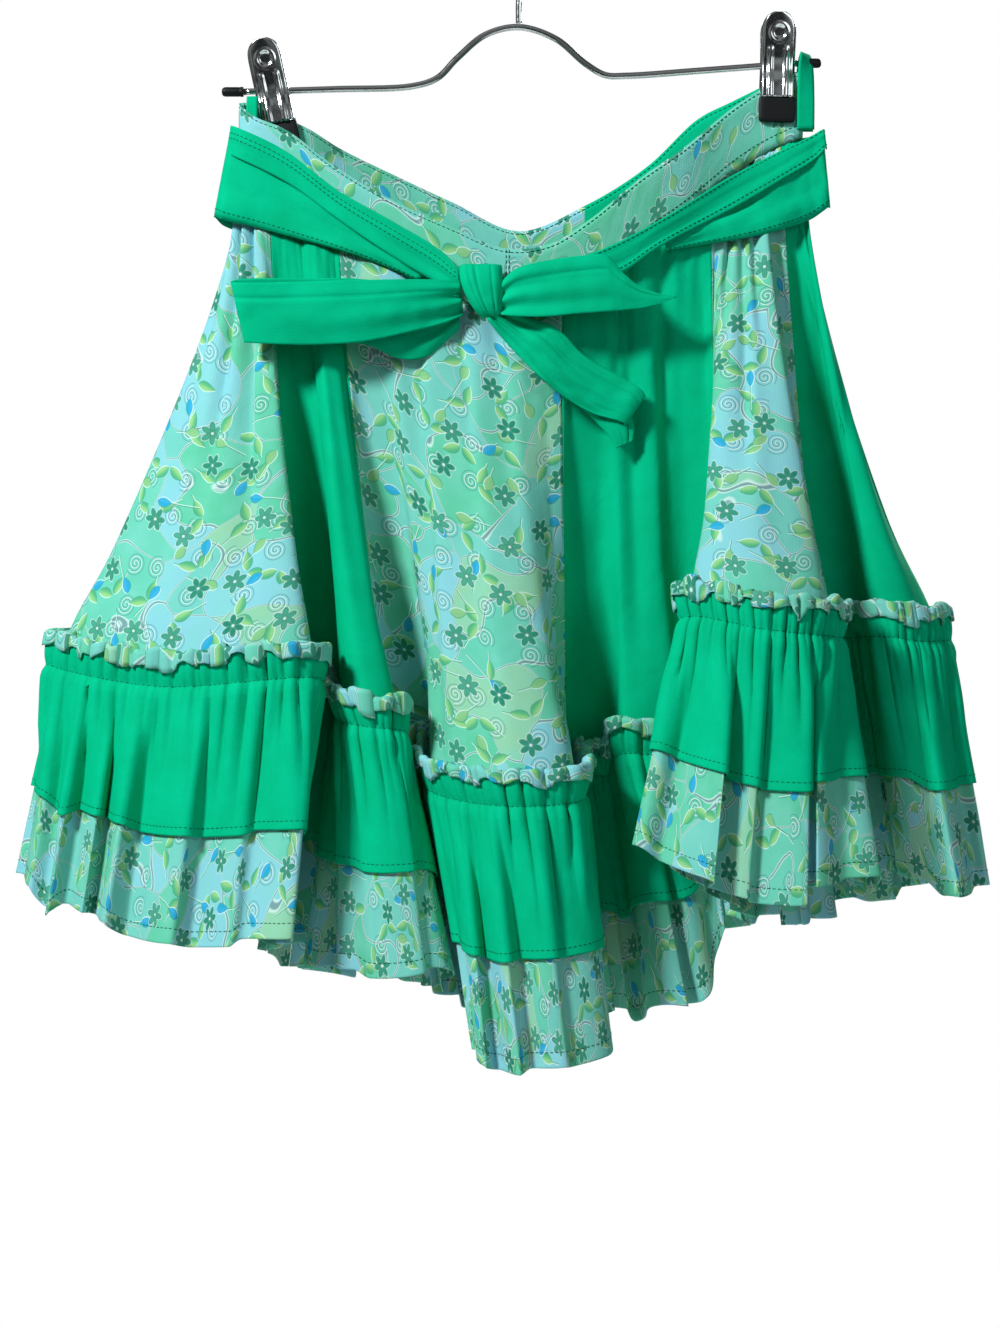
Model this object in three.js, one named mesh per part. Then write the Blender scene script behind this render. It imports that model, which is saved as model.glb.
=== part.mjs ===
// A gathered square dance skirt with a sash and a two-layer ruffle, clipped to a wire hanger.
// Millimetres, +Z up. The origin is where the inside top of the hanger's hook bears on a rod.
// The front of the skirt faces -Y, and +X is to the right when the front is seen.
import * as THREE from 'three';

// Driving sizes of the garment
const clothWall = 1.2; // bands, gores, sash and tapes
const ruffleWall = 1.4; // ruffle layers, along the plan normal, since their waves lean
const seamGap = 0.3; // between pieces that are sewn together
const bandHeight = 40;
const columnsPerGore = 16;
const straightEnough = 0.93; // cosine below which the gathering line counts as bent
const goreHeights = [0, 0.12, 0.4, 1]; // its rows, from the band to the gathering line
const headerHeight = 22.6; // frill that stands above the gathering line
const turnDown = 8.6; // how far the printed edge is turned down over the green one
const headerLean = 0.28; // outward lean of the frill, per mm of height
const greenFall = 0.587; // the green layer ends this far down the printed one
const flarePower = 1.25; // folds grow faster toward the gathering line

// Driving sizes of the hanger
const wireRadius = 2;
const tipRadius = 3;
const jawThick = 1;
const jawWide = 20;
const padWide = 21.6;

// The waist's top edge, a closed ring from its left end along the front to the right and back
const waistRows = [
  { x: -167, y: -7, z: -131 },
  { x: -158, y: -13.5, z: -140 },
  { x: -138, y: -16, z: -149 },
  { x: -108, y: -20, z: -172 },
  { x: -73, y: -24, z: -193 },
  { x: -40, y: -26, z: -208 },
  { x: -8, y: -27, z: -221 },
  { x: 18, y: -26, z: -218 },
  { x: 42, y: -24, z: -203 },
  { x: 72, y: -20, z: -178 },
  { x: 98, y: -14, z: -159 },
  { x: 128, y: -4, z: -133 },
  { x: 146, y: -1.4, z: -121 },
  { x: 163, y: -1.4, z: -113 },
  { x: 168.6, y: -1.7, z: -111 },
  { x: 170.2, y: 0, z: -110.5 },
  { x: 168.6, y: 1.7, z: -110.5 },
  { x: 163, y: 1.4, z: -111 },
  { x: 146, y: 1.4, z: -119.5 },
  { x: 128, y: 4, z: -128 },
  { x: 108, y: 12, z: -137 },
  { x: 78, y: 20, z: -164 },
  { x: 42, y: 25, z: -186 },
  { x: 0, y: 27, z: -202 },
  { x: -40, y: 25, z: -185 },
  { x: -74, y: 20, z: -170 },
  { x: -108, y: 10, z: -155 },
  { x: -128, y: 0.6, z: -144 },
  { x: -143, y: 0, z: -138 },
  { x: -156, y: 0, z: -132 },
  { x: -163, y: -2.4, z: -130 },
];
const waistRightEnd = 15; // row of the right end

// One row for each gore: where it starts along the waist (mm from the left end), where its seam
// lies (0 and 1 are the two corners of the valley before it), and its cloth
const gores = [
  { name: 'a', cloth: 'print', waistAt: -15, seam: 0.5 },
  { name: 'b', cloth: 'green', waistAt: 25, seam: -0.3 },
  { name: 'c', cloth: 'print', waistAt: 76, seam: -0.3 },
  { name: 'd', cloth: 'green', waistAt: 221, seam: -0.3 },
  { name: 'e', cloth: 'print', waistAt: 336, seam: 1.3 },
  { name: 'f', cloth: 'green', waistAt: 389, seam: -0.3 },
  { name: 'g', cloth: 'print', waistAt: 430, seam: 0.5 },
  { name: 'h', cloth: 'green', waistAt: 492, seam: 0.5 },
  { name: 'i', cloth: 'print', waistAt: 556, seam: 0.5 },
  { name: 'j', cloth: 'green', waistAt: 622, seam: 0.5 },
  { name: 'k', cloth: 'print', waistAt: 682, seam: 0.5 },
  { name: 'l', cloth: 'green', waistAt: 737, seam: 0.5 },
];

// The gathering line in plan, one fold a gore: the valley before it (root, with its width),
// then the ridge's start, middle and end, each with its height.
const gatherFolds = [
  { rootX: -244, rootY: 10, wide: 25, fromX: -276, fromY: -14, midX: -205, midY: -64,
    toX: -119, toY: -76, zFrom: -466, zMid: -479, zTo: -474 },
  { rootX: -117, rootY: -22, wide: 25, fromX: -101, fromY: -53, midX: -86, midY: -68,
    toX: -70, toY: -61, zFrom: -498, zMid: -502, zTo: -505 },
  { rootX: -62, rootY: -20, wide: 25, fromX: -50, fromY: -54, midX: -6, midY: -96,
    toX: 30, toY: -88, zFrom: -538, zMid: -546, zTo: -544 },
  { rootX: 42, rootY: -18, wide: 25, fromX: 62, fromY: -28, midX: 75, midY: -30,
    toX: 88, toY: -27, zFrom: -519, zMid: -519, zTo: -517 },
  { rootX: 113, rootY: -23, wide: 22, fromX: 97, fromY: -84, midX: 138, midY: -108,
    toX: 177, toY: -87, zFrom: -440, zMid: -447, zTo: -451 },
  { rootX: 188, rootY: -30, wide: 25, fromX: 211, fromY: -48, midX: 233, midY: -44,
    toX: 251, toY: -20, zFrom: -450, zMid: -453, zTo: -452 },
  { rootX: 236, rootY: 8, wide: 25, fromX: 251, fromY: 32, midX: 224, midY: 66,
    toX: 176, toY: 78, zFrom: -453, zMid: -460, zTo: -466 },
  { rootX: 160, rootY: 22, wide: 25, fromX: 148, fromY: 68, midX: 116, midY: 84,
    toX: 82, toY: 74, zFrom: -472, zMid: -485, zTo: -496 },
  { rootX: 66, rootY: 20, wide: 25, fromX: 52, fromY: 64, midX: 20, midY: 84,
    toX: -14, toY: 74, zFrom: -520, zMid: -529, zTo: -536 },
  { rootX: -30, rootY: 20, wide: 25, fromX: -44, fromY: 68, midX: -74, midY: 84,
    toX: -104, toY: 72, zFrom: -528, zMid: -519, zTo: -508 },
  { rootX: -120, rootY: 22, wide: 25, fromX: -134, fromY: 64, midX: -166, midY: 76,
    toX: -198, toY: 60, zFrom: -494, zMid: -488, zTo: -480 },
  { rootX: -206, rootY: 20, wide: 25, fromX: -226, fromY: 50, midX: -250, midY: 50,
    toX: -266, toY: 30, zFrom: -474, zMid: -471, zTo: -467 },
];

// The printed ruffle's hem in plan, with the same columns
const hemFolds = [
  { rootX: -264, rootY: 6, wide: 25, fromX: -296, fromY: -20, midX: -216, midY: -88,
    toX: -127, toY: -104, zFrom: -594, zMid: -619, zTo: -616 },
  { rootX: -141, rootY: -50, wide: 25, fromX: -118, fromY: -76, midX: -82, midY: -92,
    toX: -44, toY: -84, zFrom: -637, zMid: -641, zTo: -638 },
  { rootX: -35, rootY: -44, wide: 25, fromX: -23, fromY: -98, midX: 14, midY: -121,
    toX: 48, toY: -108, zFrom: -687, zMid: -688, zTo: -681 },
  { rootX: 57, rootY: -42, wide: 25, fromX: 77, fromY: -48, midX: 94, midY: -50,
    toX: 108, toY: -46, zFrom: -658, zMid: -658, zTo: -656 },
  { rootX: 128, rootY: -40, wide: 23, fromX: 70, fromY: -112, midX: 126, midY: -130,
    toX: 196, toY: -110, zFrom: -569, zMid: -591, zTo: -589 },
  { rootX: 204, rootY: -52, wide: 25, fromX: 227, fromY: -70, midX: 252, midY: -64,
    toX: 273, toY: -36, zFrom: -591, zMid: -594, zTo: -590 },
  { rootX: 257, rootY: 2, wide: 24, fromX: 276, fromY: 36, midX: 250, midY: 86,
    toX: 198, toY: 102, zFrom: -595, zMid: -608, zTo: -618 },
  { rootX: 180, rootY: 42, wide: 24, fromX: 168, fromY: 92, midX: 132, midY: 110,
    toX: 92, toY: 98, zFrom: -630, zMid: -638, zTo: -640 },
  { rootX: 74, rootY: 42, wide: 24, fromX: 58, fromY: 90, midX: 20, midY: 110,
    toX: -18, toY: 100, zFrom: -654, zMid: -664, zTo: -668 },
  { rootX: -34, rootY: 42, wide: 24, fromX: -50, fromY: 94, midX: -86, midY: 110,
    toX: -122, toY: 98, zFrom: -671, zMid: -666, zTo: -654 },
  { rootX: -140, rootY: 42, wide: 24, fromX: -158, fromY: 86, midX: -198, midY: 100,
    toX: -232, toY: 84, zFrom: -640, zMid: -632, zTo: -618 },
  { rootX: -236, rootY: 36, wide: 25, fromX: -260, fromY: 72, midX: -284, midY: 66,
    toX: -296, toY: 38, zFrom: -608, zMid: -604, zTo: -596 },
];

// Out from the plan line to the inner face of each ruffle layer, at the gathering line
const printInner = 1.3;
const greenInner = printInner + ruffleWall + 0.8;

// Size of the waves down a ruffle, per height: tight gathers (two columns each) fade toward the
// hem, while loose waves (four columns each) grow toward it
const waveRows = [
  { fall: -0.15, tight: 2.7, loose: 0.5 },
  { fall: 0, tight: 1.4, loose: 0 },
  { fall: 0.12, tight: 2, loose: 1 },
  { fall: greenFall, tight: 1, loose: 5 },
  { fall: 1, tight: 0, loose: 7.5 },
];

const colours = {
  green: new THREE.MeshStandardMaterial({ color: 0x02b87a, roughness: 0.75 }),
  print: new THREE.MeshStandardMaterial({ color: 0x8fd6b8, roughness: 0.8 }),
  chrome: new THREE.MeshStandardMaterial({ color: 0xc8ced0, roughness: 0.15, metalness: 1 }),
  rubber: new THREE.MeshStandardMaterial({ color: 0x12171a, roughness: 0.6 }),
};

const skirt = new THREE.Group();

function addMesh(name, geometry, material, parent = skirt) {
  const mesh = new THREE.Mesh(geometry, material);
  mesh.name = name;
  parent.add(mesh);
  return mesh;
}

// A closed solid from a strip of wall: each column is a list of pairs of points, one on each
// face. Its two faces, two long edges and two end caps are joined at shared points.
function wallSolid(columns) {
  const positions = [];
  const triangles = [];
  const pairCount = columns[0].length;
  columns.flat(2).forEach((p) => positions.push(p.x, p.y, p.z));
  const at = (column, pair, face) => (column * pairCount + pair) * 2 + face;
  const quad = (a, b, c, d) => triangles.push(a, b, c, a, c, d);
  for (let i = 0; i < columns.length - 1; i += 1) {
    for (let k = 0; k < pairCount - 1; k += 1) {
      quad(at(i, k, 0), at(i + 1, k, 0), at(i + 1, k + 1, 0), at(i, k + 1, 0));
      quad(at(i, k, 1), at(i, k + 1, 1), at(i + 1, k + 1, 1), at(i + 1, k, 1));
    }
    const last = pairCount - 1;
    quad(at(i, 0, 0), at(i, 0, 1), at(i + 1, 0, 1), at(i + 1, 0, 0));
    quad(at(i, last, 0), at(i + 1, last, 0), at(i + 1, last, 1), at(i, last, 1));
  }
  const end = columns.length - 1;
  for (let k = 0; k < pairCount - 1; k += 1) {
    quad(at(0, k, 0), at(0, k + 1, 0), at(0, k + 1, 1), at(0, k, 1));
    quad(at(end, k, 0), at(end, k, 1), at(end, k + 1, 1), at(end, k + 1, 0));
  }
  const geometry = new THREE.BufferGeometry();
  geometry.setAttribute('position', new THREE.Float32BufferAttribute(positions, 3));
  geometry.setIndex(signedVolume(positions, triangles) < 0 ? reversed(triangles) : triangles);
  return geometry;
}

function signedVolume(positions, triangles) {
  const corner = (i) => new THREE.Vector3().fromArray(positions, 3 * i);
  let volume = 0;
  for (let i = 0; i < triangles.length; i += 3) {
    const [a, b, c] = [corner(triangles[i]), corner(triangles[i + 1]), corner(triangles[i + 2])];
    volume += a.dot(b.cross(c)) / 6;
  }
  return volume;
}

function reversed(triangles) {
  const turned = [];
  for (let i = 0; i < triangles.length; i += 3) {
    turned.push(triangles[i], triangles[i + 2], triangles[i + 1]);
  }
  return turned;
}

// A sheet's solid from a grid of points on its middle surface, half the wall to each side
function sheetSolid(grid, thick) {
  const columns = grid.map((column, i) => column.map((p, k) => {
    const along = grid[Math.min(i + 1, grid.length - 1)][k].clone()
      .sub(grid[Math.max(i - 1, 0)][k]);
    const across = column[Math.min(k + 1, column.length - 1)].clone()
      .sub(column[Math.max(k - 1, 0)]);
    const half = along.cross(across).normalize().multiplyScalar(thick / 2);
    return [p.clone().add(half), p.clone().sub(half)];
  }));
  return wallSolid(columns);
}

function between(rows, key, at, value) {
  const next = Math.max(1, rows.findIndex((row) => row[key] >= at));
  const [low, high] = [rows[next - 1], rows[next]];
  return THREE.MathUtils.mapLinear(at, low[key], high[key], low[value], high[value]);
}

// ---- Rings of the garment ----

// A closed ring with its running length, so that a place on it can be asked for by length
class Ring {
  constructor(points) {
    this.curve = new THREE.CatmullRomCurve3(points, true, 'centripetal');
    this.curve.arcLengthDivisions = 1600;
    this.lengths = this.curve.getLengths();
    this.total = this.lengths[this.lengths.length - 1];
    this.pointCount = points.length;
  }

  // Share of the ring's length at a place counted in control points
  shareAt(place) {
    const wrapped = place / this.pointCount;
    const turn = Math.floor(wrapped);
    const step = (wrapped - turn) * (this.lengths.length - 1);
    const low = Math.floor(step);
    const high = Math.min(low + 1, this.lengths.length - 1);
    const length = THREE.MathUtils.lerp(this.lengths[low], this.lengths[high], step - low);
    return turn + length / this.total;
  }

  // The point and the outward plan normal at a share of the length
  placeAt(share) {
    const wrapped = share - Math.floor(share);
    const along = this.curve.getTangentAt(wrapped);
    return {
      point: this.curve.getPointAt(wrapped),
      normal: new THREE.Vector3(along.y, -along.x, 0).normalize(),
    };
  }
}

const waistRing = new Ring(waistRows.map((row) => new THREE.Vector3(row.x, row.y, row.z)));

function foldRing(folds) {
  const points = [];
  folds.forEach((fold, i) => {
    const before = folds[(i + folds.length - 1) % folds.length];
    const [mouthX, mouthY] = [(fold.fromX + before.toX) / 2, (fold.fromY + before.toY) / 2];
    const across = new THREE.Vector3(fold.rootY - mouthY, mouthX - fold.rootX, 0);
    const leftward = across.x * (fold.fromX - before.toX) + across.y * (fold.fromY - before.toY) < 0;
    across.setLength(leftward ? -fold.wide / 2 : fold.wide / 2);
    const root = new THREE.Vector3(fold.rootX, fold.rootY, (before.zTo + fold.zFrom) / 2);
    points.push(root.clone().sub(across), root.clone().add(across));
    points.push(new THREE.Vector3(fold.fromX, fold.fromY, fold.zFrom));
    points.push(new THREE.Vector3(fold.midX, fold.midY, fold.zMid));
    points.push(new THREE.Vector3(fold.toX, fold.toY, fold.zTo));
  });
  return new Ring(points);
}

const gatherRing = foldRing(gatherFolds);
const hemRing = foldRing(hemFolds);
const pointsPerFold = 5;

// Room for waves on a ring: half the clear distance ahead of the ruffle's layers and behind them,
// as a share of the most that the waves need
class Room {
  constructor(ring, layers, most) {
    this.steps = 384;
    this.places = Array.from({ length: this.steps }, (_, i) => ring.placeAt(i / this.steps));
    this.raw = this.places.map((place, index) => {
      const ahead = this.nearest(place, index, 1) / 2 - layers;
      const behind = this.nearest(place, index, -1) / 2 - clothWall;
      return THREE.MathUtils.clamp(Math.min(ahead, behind) / most, 0.08, 1);
    });
  }

  nearest(place, index, side) {
    const distances = this.places.map((other, i) => {
      const steps = Math.min(Math.abs(i - index), this.steps - Math.abs(i - index));
      const away = other.point.clone().sub(place.point).setZ(0);
      const faces = side * away.dot(place.normal) > 0.3 * away.length();
      return steps > 3 && faces ? away.length() : Infinity;
    });
    return Math.min(...distances);
  }

  at(share) {
    const middle = Math.round((share - Math.floor(share)) * this.steps);
    let sum = 0;
    for (let i = -3; i <= 3; i += 1) {
      sum += this.raw[(middle + i + this.steps) % this.steps];
    }
    return sum / 7;
  }
}

const gatherLift = 1.4; // gathers push the ruffle off the gore where there is room
const overGreen = greenInner + ruffleWall + 0.7;
const headerMost = waveRows[0].tight + gatherLift + headerLean * headerHeight;
const gatherRoom = new Room(gatherRing, overGreen + ruffleWall + 1, headerMost);
const looseMost = waveRows[waveRows.length - 1].loose;
const hemRoom = new Room(hemRing, greenInner + ruffleWall + 1, looseMost);

// A column is one vertical line of the skirt: its places on the three rings, and its number
function columnAt(goreIndex, step) {
  const gore = gores[goreIndex];
  const wrap = goreIndex === gores.length - 1;
  const next = gores[(goreIndex + 1) % gores.length];
  const thisSeam = goreIndex * pointsPerFold + gore.seam;
  const nextSeam = (goreIndex + 1) * pointsPerFold + next.seam;
  const within = (ring, from, to) => {
    const inset = seamGap / 2 / ring.total;
    return THREE.MathUtils.lerp(from + inset, to - inset, step / columnsPerGore);
  };
  const waistEnd = next.waistAt / waistRing.total + (wrap ? 1 : 0);
  const waistShare = within(waistRing, gore.waistAt / waistRing.total, waistEnd);
  const [gatherShare, hemShare] = [gatherRing, hemRing].map(
    (ring) => within(ring, ring.shareAt(thisSeam), ring.shareAt(nextSeam)),
  );
  return {
    number: goreIndex * columnsPerGore + step,
    waistShare: (waistShare + 1) % 1,
    waist: waistRing.placeAt(waistShare),
    gather: gatherRing.placeAt(gatherShare),
    hem: hemRing.placeAt(hemShare),
    headerRoom: gatherRoom.at(gatherShare),
    hemRoom: hemRoom.at(hemShare),
  };
}

function goreColumns(goreIndex) {
  return Array.from({ length: columnsPerGore + 1 }, (_, step) => columnAt(goreIndex, step));
}

// The columns of a gore's wall: every second one, and each where the gathering line bends
function wallColumns(goreIndex) {
  const columns = goreColumns(goreIndex);
  return columns.filter((column, i) => {
    const [before, after] = [columns[i - 1], columns[i + 1]];
    return i % 2 === 0 || before.gather.normal.dot(after.gather.normal) < straightEnough;
  });
}

// ---- Waistband ----

// A stretch of the band between two shares of the waist, with the gores' own columns between
function bandColumns(fromShare, toShare) {
  const inset = seamGap / 2 / waistRing.total;
  const shares = gores.flatMap((gore, index) => goreColumns(index).slice(1))
    .filter((column) => column.number % 2 === 0)
    .map((column) => column.waistShare)
    .filter((share) => share > fromShare + 3 * inset && share < toShare - 3 * inset)
    .sort((a, b) => a - b);
  return [fromShare + inset, ...shares, toShare - inset].map((share) => {
    const { point, normal } = waistRing.placeAt(share);
    return [0, -bandHeight].map((drop) => [clothWall / 2, -clothWall / 2].map(
      (out) => point.clone().addScaledVector(normal, out).setZ(point.z + drop),
    ));
  });
}

const rightEndShare = waistRing.shareAt(waistRightEnd);
addMesh('waistband_front', wallSolid(bandColumns(0, rightEndShare)), colours.print);
addMesh('waistband_back', wallSolid(bandColumns(rightEndShare, 1)), colours.print);

// ---- Gores ----

// Small pleats where the gore is gathered into the band, four columns each. They grow quickly
// below the band and die out toward the gathering line.
const pleatDeep = 1.3;
const pleatGrows = 1 / 6; // share of the gore's height
const pleatEnds = 0.71;
const pleatTurn = 0.6; // turns them off the seams

function pleat(column, down) {
  const size = pleatDeep * Math.min(1, down / pleatGrows) * Math.max(0, 1 - down / pleatEnds);
  return size * Math.sin(column.number * Math.PI / 2 + pleatTurn);
}

function goreKnot(column, down, out) {
  const top = column.waist.point.clone();
  top.z -= bandHeight + seamGap;
  const grow = down ** flarePower;
  const point = top.clone().lerp(column.gather.point, grow);
  point.z = THREE.MathUtils.lerp(top.z, column.gather.point.z, down);
  const normal = column.waist.normal.clone().lerp(column.gather.normal, grow).normalize();
  return point.addScaledVector(normal, out + pleat(column, down));
}

// A point of a gore, out from its middle surface, on the straight wall between two rows
function gorePoint(column, down, out) {
  const next = Math.max(1, goreHeights.findIndex((height) => height >= down));
  const [high, low] = [goreHeights[next - 1], goreHeights[next]];
  const share = (down - high) / (low - high);
  return goreKnot(column, high, out).lerp(goreKnot(column, low, out), share);
}

gores.forEach((gore, index) => {
  const columns = wallColumns(index).map((column) => goreHeights.map((down) => [
    gorePoint(column, down, clothWall / 2),
    gorePoint(column, down, -clothWall / 2),
  ]));
  addMesh(`gore_${gore.name}`, wallSolid(columns), colours[gore.cloth]);
});

// ---- Ruffles ----

// Waves of a ruffle at a column: uneven in size, and small where folds leave little room
function wave(column, fall) {
  const room = THREE.MathUtils.lerp(column.headerRoom, column.hemRoom, Math.max(0, fall));
  const swell = room * (0.8 + 0.2 * Math.sin(column.number * 0.7));
  const tight = between(waveRows, 'fall', fall, 'tight') * (column.number % 2 ? 1 : -1);
  const loose = between(waveRows, 'fall', fall, 'loose') * Math.sin(column.number * Math.PI / 2);
  return (tight + loose) * swell + gatherLift * room;
}

// A point of a ruffle: fall is 0 at the gathering line and 1 at the printed hem
function fallingPoint(column, fall, out) {
  const point = column.gather.point.clone().lerp(column.hem.point, fall);
  const normal = column.gather.normal.clone().lerp(column.hem.normal, fall).normalize();
  return point.addScaledVector(normal, out + wave(column, fall));
}

// A point of the frill above the gathering line, which follows the gore and leans away from it
function headerPoint(column, up, out) {
  const drop = column.waist.point.z - bandHeight - column.gather.point.z;
  const lean = headerLean * up * column.headerRoom;
  return gorePoint(column, 1 - up / drop, out + lean + wave(column, -0.15 * up / headerHeight));
}

function printRuffleColumn(column) {
  const outer = printInner + ruffleWall;
  const pairs = [1, greenFall, 0.12, 0].map((fall) => [
    fallingPoint(column, fall, printInner),
    fallingPoint(column, fall, outer),
  ]);
  const under = headerHeight - ruffleWall;
  const lip = headerHeight - turnDown;
  pairs.push([headerPoint(column, headerHeight, printInner), headerPoint(column, under, outer)]);
  pairs.push([
    headerPoint(column, headerHeight, overGreen + ruffleWall),
    headerPoint(column, under, overGreen),
  ]);
  pairs.push([
    headerPoint(column, lip, overGreen + ruffleWall),
    headerPoint(column, lip, overGreen),
  ]);
  return pairs;
}

function greenRuffleColumn(column) {
  const outer = greenInner + ruffleWall;
  const pairs = [greenFall, 0.12, 0].map((fall) => [
    fallingPoint(column, fall, greenInner),
    fallingPoint(column, fall, outer),
  ]);
  const top = headerHeight - ruffleWall - 1.2;
  pairs.push([headerPoint(column, top, greenInner), headerPoint(column, top, outer)]);
  return pairs;
}

for (let i = 0; i < gores.length; i += 2) {
  const stretch = gores[i].name + gores[i + 1].name;
  const columns = [...goreColumns(i), ...goreColumns(i + 1).slice(1)];
  addMesh(`ruffle_print_${stretch}`, wallSolid(columns.map(printRuffleColumn)), colours.print);
  addMesh(`ruffle_green_${stretch}`, wallSolid(columns.map(greenRuffleColumn)), colours.green);
}

// ---- Sash and bow ----

// Points of the garment's outer face under the sash, for laying pieces on it
const outerPoints = [];
gores.forEach((gore, index) => goreColumns(index).forEach((column) => {
  [0, 0.08, 0.16, 0.24, 0.32, 0.4, 0.48].forEach((down) => {
    outerPoints.push(gorePoint(column, down, clothWall / 2));
  });
  [0, -bandHeight / 2, -bandHeight].forEach((drop) => {
    const { point, normal } = column.waist;
    outerPoints.push(point.clone().addScaledVector(normal, clothWall / 2).setZ(point.z + drop));
  });
}));

// How far the garment reaches to the front (side -1) or the back (side 1) near a place
function reachAt(x, z, side, near = 13) {
  let reach = 0;
  outerPoints.forEach((p) => {
    if (Math.abs(p.x - x) < near && Math.abs(p.z - z) < near) {
      reach = Math.max(reach, p.y * side);
    }
  });
  return reach * side;
}

// A band of cloth laid on the garment. Each row gives the two edges (a and b) and how far its
// middle surface stands off; a row with a y of its own stands free of the garment.
function layBand(rows, side, steps = 3) {
  const across = [0, 0.5, 1];
  const lines = across.map((share) => new THREE.CatmullRomCurve3(rows.map((row) => {
    const x = THREE.MathUtils.lerp(row.ax, row.bx, share);
    const z = THREE.MathUtils.lerp(row.az, row.bz, share);
    const y = row.y ?? reachAt(x, z, side) + row.off * side;
    return new THREE.Vector3(x, y, z);
  }), false, 'centripetal'));
  const count = (rows.length - 1) * steps;
  return Array.from({ length: count + 1 }, (_, i) => lines.map((line) => line.getPoint(i / count)));
}

const sashOff = 2.4;
const leftTurn = { ax: -172, az: -146, bx: -182, bz: -199 };
const leftSide = { ax: -171.4, az: -146, bx: -181.4, bz: -199 };
const rightTurn = { ax: 182, az: -147, bx: 186, bz: -192 };
const rightSide = { ax: 181.4, az: -147, bx: 185.4, bz: -192 };

const sashLeft = [
  { ...leftTurn, y: -6.15 },
  { ...leftSide, y: -10 },
  { ax: -165, az: -148, bx: -176, bz: -201, off: sashOff },
  { ax: -140, az: -157, bx: -149, bz: -207, off: sashOff },
  { ax: -108, az: -182, bx: -112, bz: -216, off: sashOff },
  { ax: -74, az: -202, bx: -78, bz: -228, off: sashOff },
  { ax: -52, az: -214, bx: -54, bz: -238, off: sashOff + 0.6 },
  { ax: -34.8, az: -237, bx: -34.8, bz: -250, off: sashOff + 4.6 },
];
const sashRight = [
  { ax: -10.3, az: -240, bx: -10.3, bz: -252, off: sashOff + 5.2 },
  { ax: 16, az: -232, bx: 18, bz: -246, off: sashOff + 0.6 },
  { ax: 52, az: -219, bx: 55, bz: -232, off: sashOff },
  { ax: 86, az: -199, bx: 89, bz: -217, off: sashOff },
  { ax: 124, az: -173, bx: 129, bz: -209, off: sashOff },
  { ax: 154, az: -160, bx: 158, bz: -203, off: sashOff },
  { ax: 174, az: -149, bx: 178, bz: -195, off: sashOff },
  { ...rightSide, y: -7 },
  { ...rightTurn, y: -3.15 },
];
const sashBack = [
  { ...rightTurn, y: -2.85 },
  { ...rightSide, y: 1 },
  { ax: 174, az: -149, bx: 178, bz: -196, off: sashOff },
  { ax: 148, az: -152, bx: 152, bz: -204, off: sashOff },
  { ax: 108, az: -166, bx: 112, bz: -217, off: sashOff },
  { ax: 62, az: -192, bx: 64, bz: -244, off: sashOff },
  { ax: 0, az: -214, bx: 0, bz: -267, off: sashOff },
  { ax: -60, az: -194, bx: -62, bz: -247, off: sashOff },
  { ax: -104, az: -172, bx: -108, bz: -224, off: sashOff },
  { ax: -142, az: -163, bx: -148, bz: -211, off: sashOff },
  { ax: -166, az: -152, bx: -177, bz: -203, off: sashOff },
  { ...leftSide, y: -2 },
  { ...leftTurn, y: -5.85 },
];
addMesh('sash_left', sheetSolid(layBand(sashLeft, -1), clothWall), colours.green);
addMesh('sash_right', sheetSolid(layBand(sashRight, -1), clothWall), colours.green);
addMesh('sash_back', sheetSolid(layBand(sashBack, 1), clothWall), colours.green);

// The knot's wrap, flattened in front and pinched at its waist
const knot = { x: -22.6, z: -247.5, wide: 12.6, deep: 7, high: 15.5 };
const knotY = reachAt(knot.x, knot.z, -1) - knot.deep - 3;
const knotGeometry = new THREE.SphereGeometry(1, 14, 10);
knotGeometry.scale(knot.wide, knot.deep, knot.high);
addMesh('bow_knot', knotGeometry, colours.green).position.set(knot.x, knotY, knot.z);

// The loop to the left goes out in front, turns, and comes back behind itself
const loopFront = knotY - 6;
const loopBack = knotY - 0.5;
const bowLoopLeft = [
  { ax: -34.4, az: -242, bx: -34.4, bz: -254, y: loopFront + 3 },
  { ax: -60, az: -242, bx: -58, bz: -268, y: loopFront - 1 },
  { ax: -92, az: -242, bx: -90, bz: -278, y: loopFront - 2 },
  { ax: -130, az: -242, bx: -126, bz: -279, y: loopFront - 1 },
  { ax: -165, az: -242, bx: -157, bz: -278, y: loopFront },
  { ax: -169, az: -242, bx: -161, bz: -278, y: (loopFront + loopBack) / 2 },
  { ax: -165, az: -242, bx: -157, bz: -278, y: loopBack },
  { ax: -126, az: -243, bx: -120, bz: -279, y: loopBack + 1 },
  { ax: -90, az: -244, bx: -86, bz: -282, y: loopBack + 1 },
  { ax: -62, az: -246, bx: -60, bz: -287, y: loopBack + 1 },
  { ax: -35.4, az: -250, bx: -35.4, bz: -276, y: loopBack + 1 },
];
addMesh('bow_loop_left', sheetSolid(layBand(bowLoopLeft, -1, 2), clothWall), colours.green);

// The tail to the right ends in a slanting cut
const tailY = knotY - 3;
const bowTailRight = [
  { ax: -10.8, az: -240, bx: -10.8, bz: -262, y: tailY },
  { ax: 12, az: -232, bx: 6, bz: -264, y: tailY - 3 },
  { ax: 50, az: -229, bx: 40, bz: -263, y: tailY - 3 },
  { ax: 62, az: -243, bx: 62, bz: -261, y: tailY - 1 },
  { ax: 76, az: -251, bx: 76, bz: -259, y: tailY },
  { ax: 91, az: -253, bx: 91, bz: -255, y: tailY },
];
addMesh('bow_tail_right', sheetSolid(layBand(bowTailRight, -1, 2), clothWall), colours.green);

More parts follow.
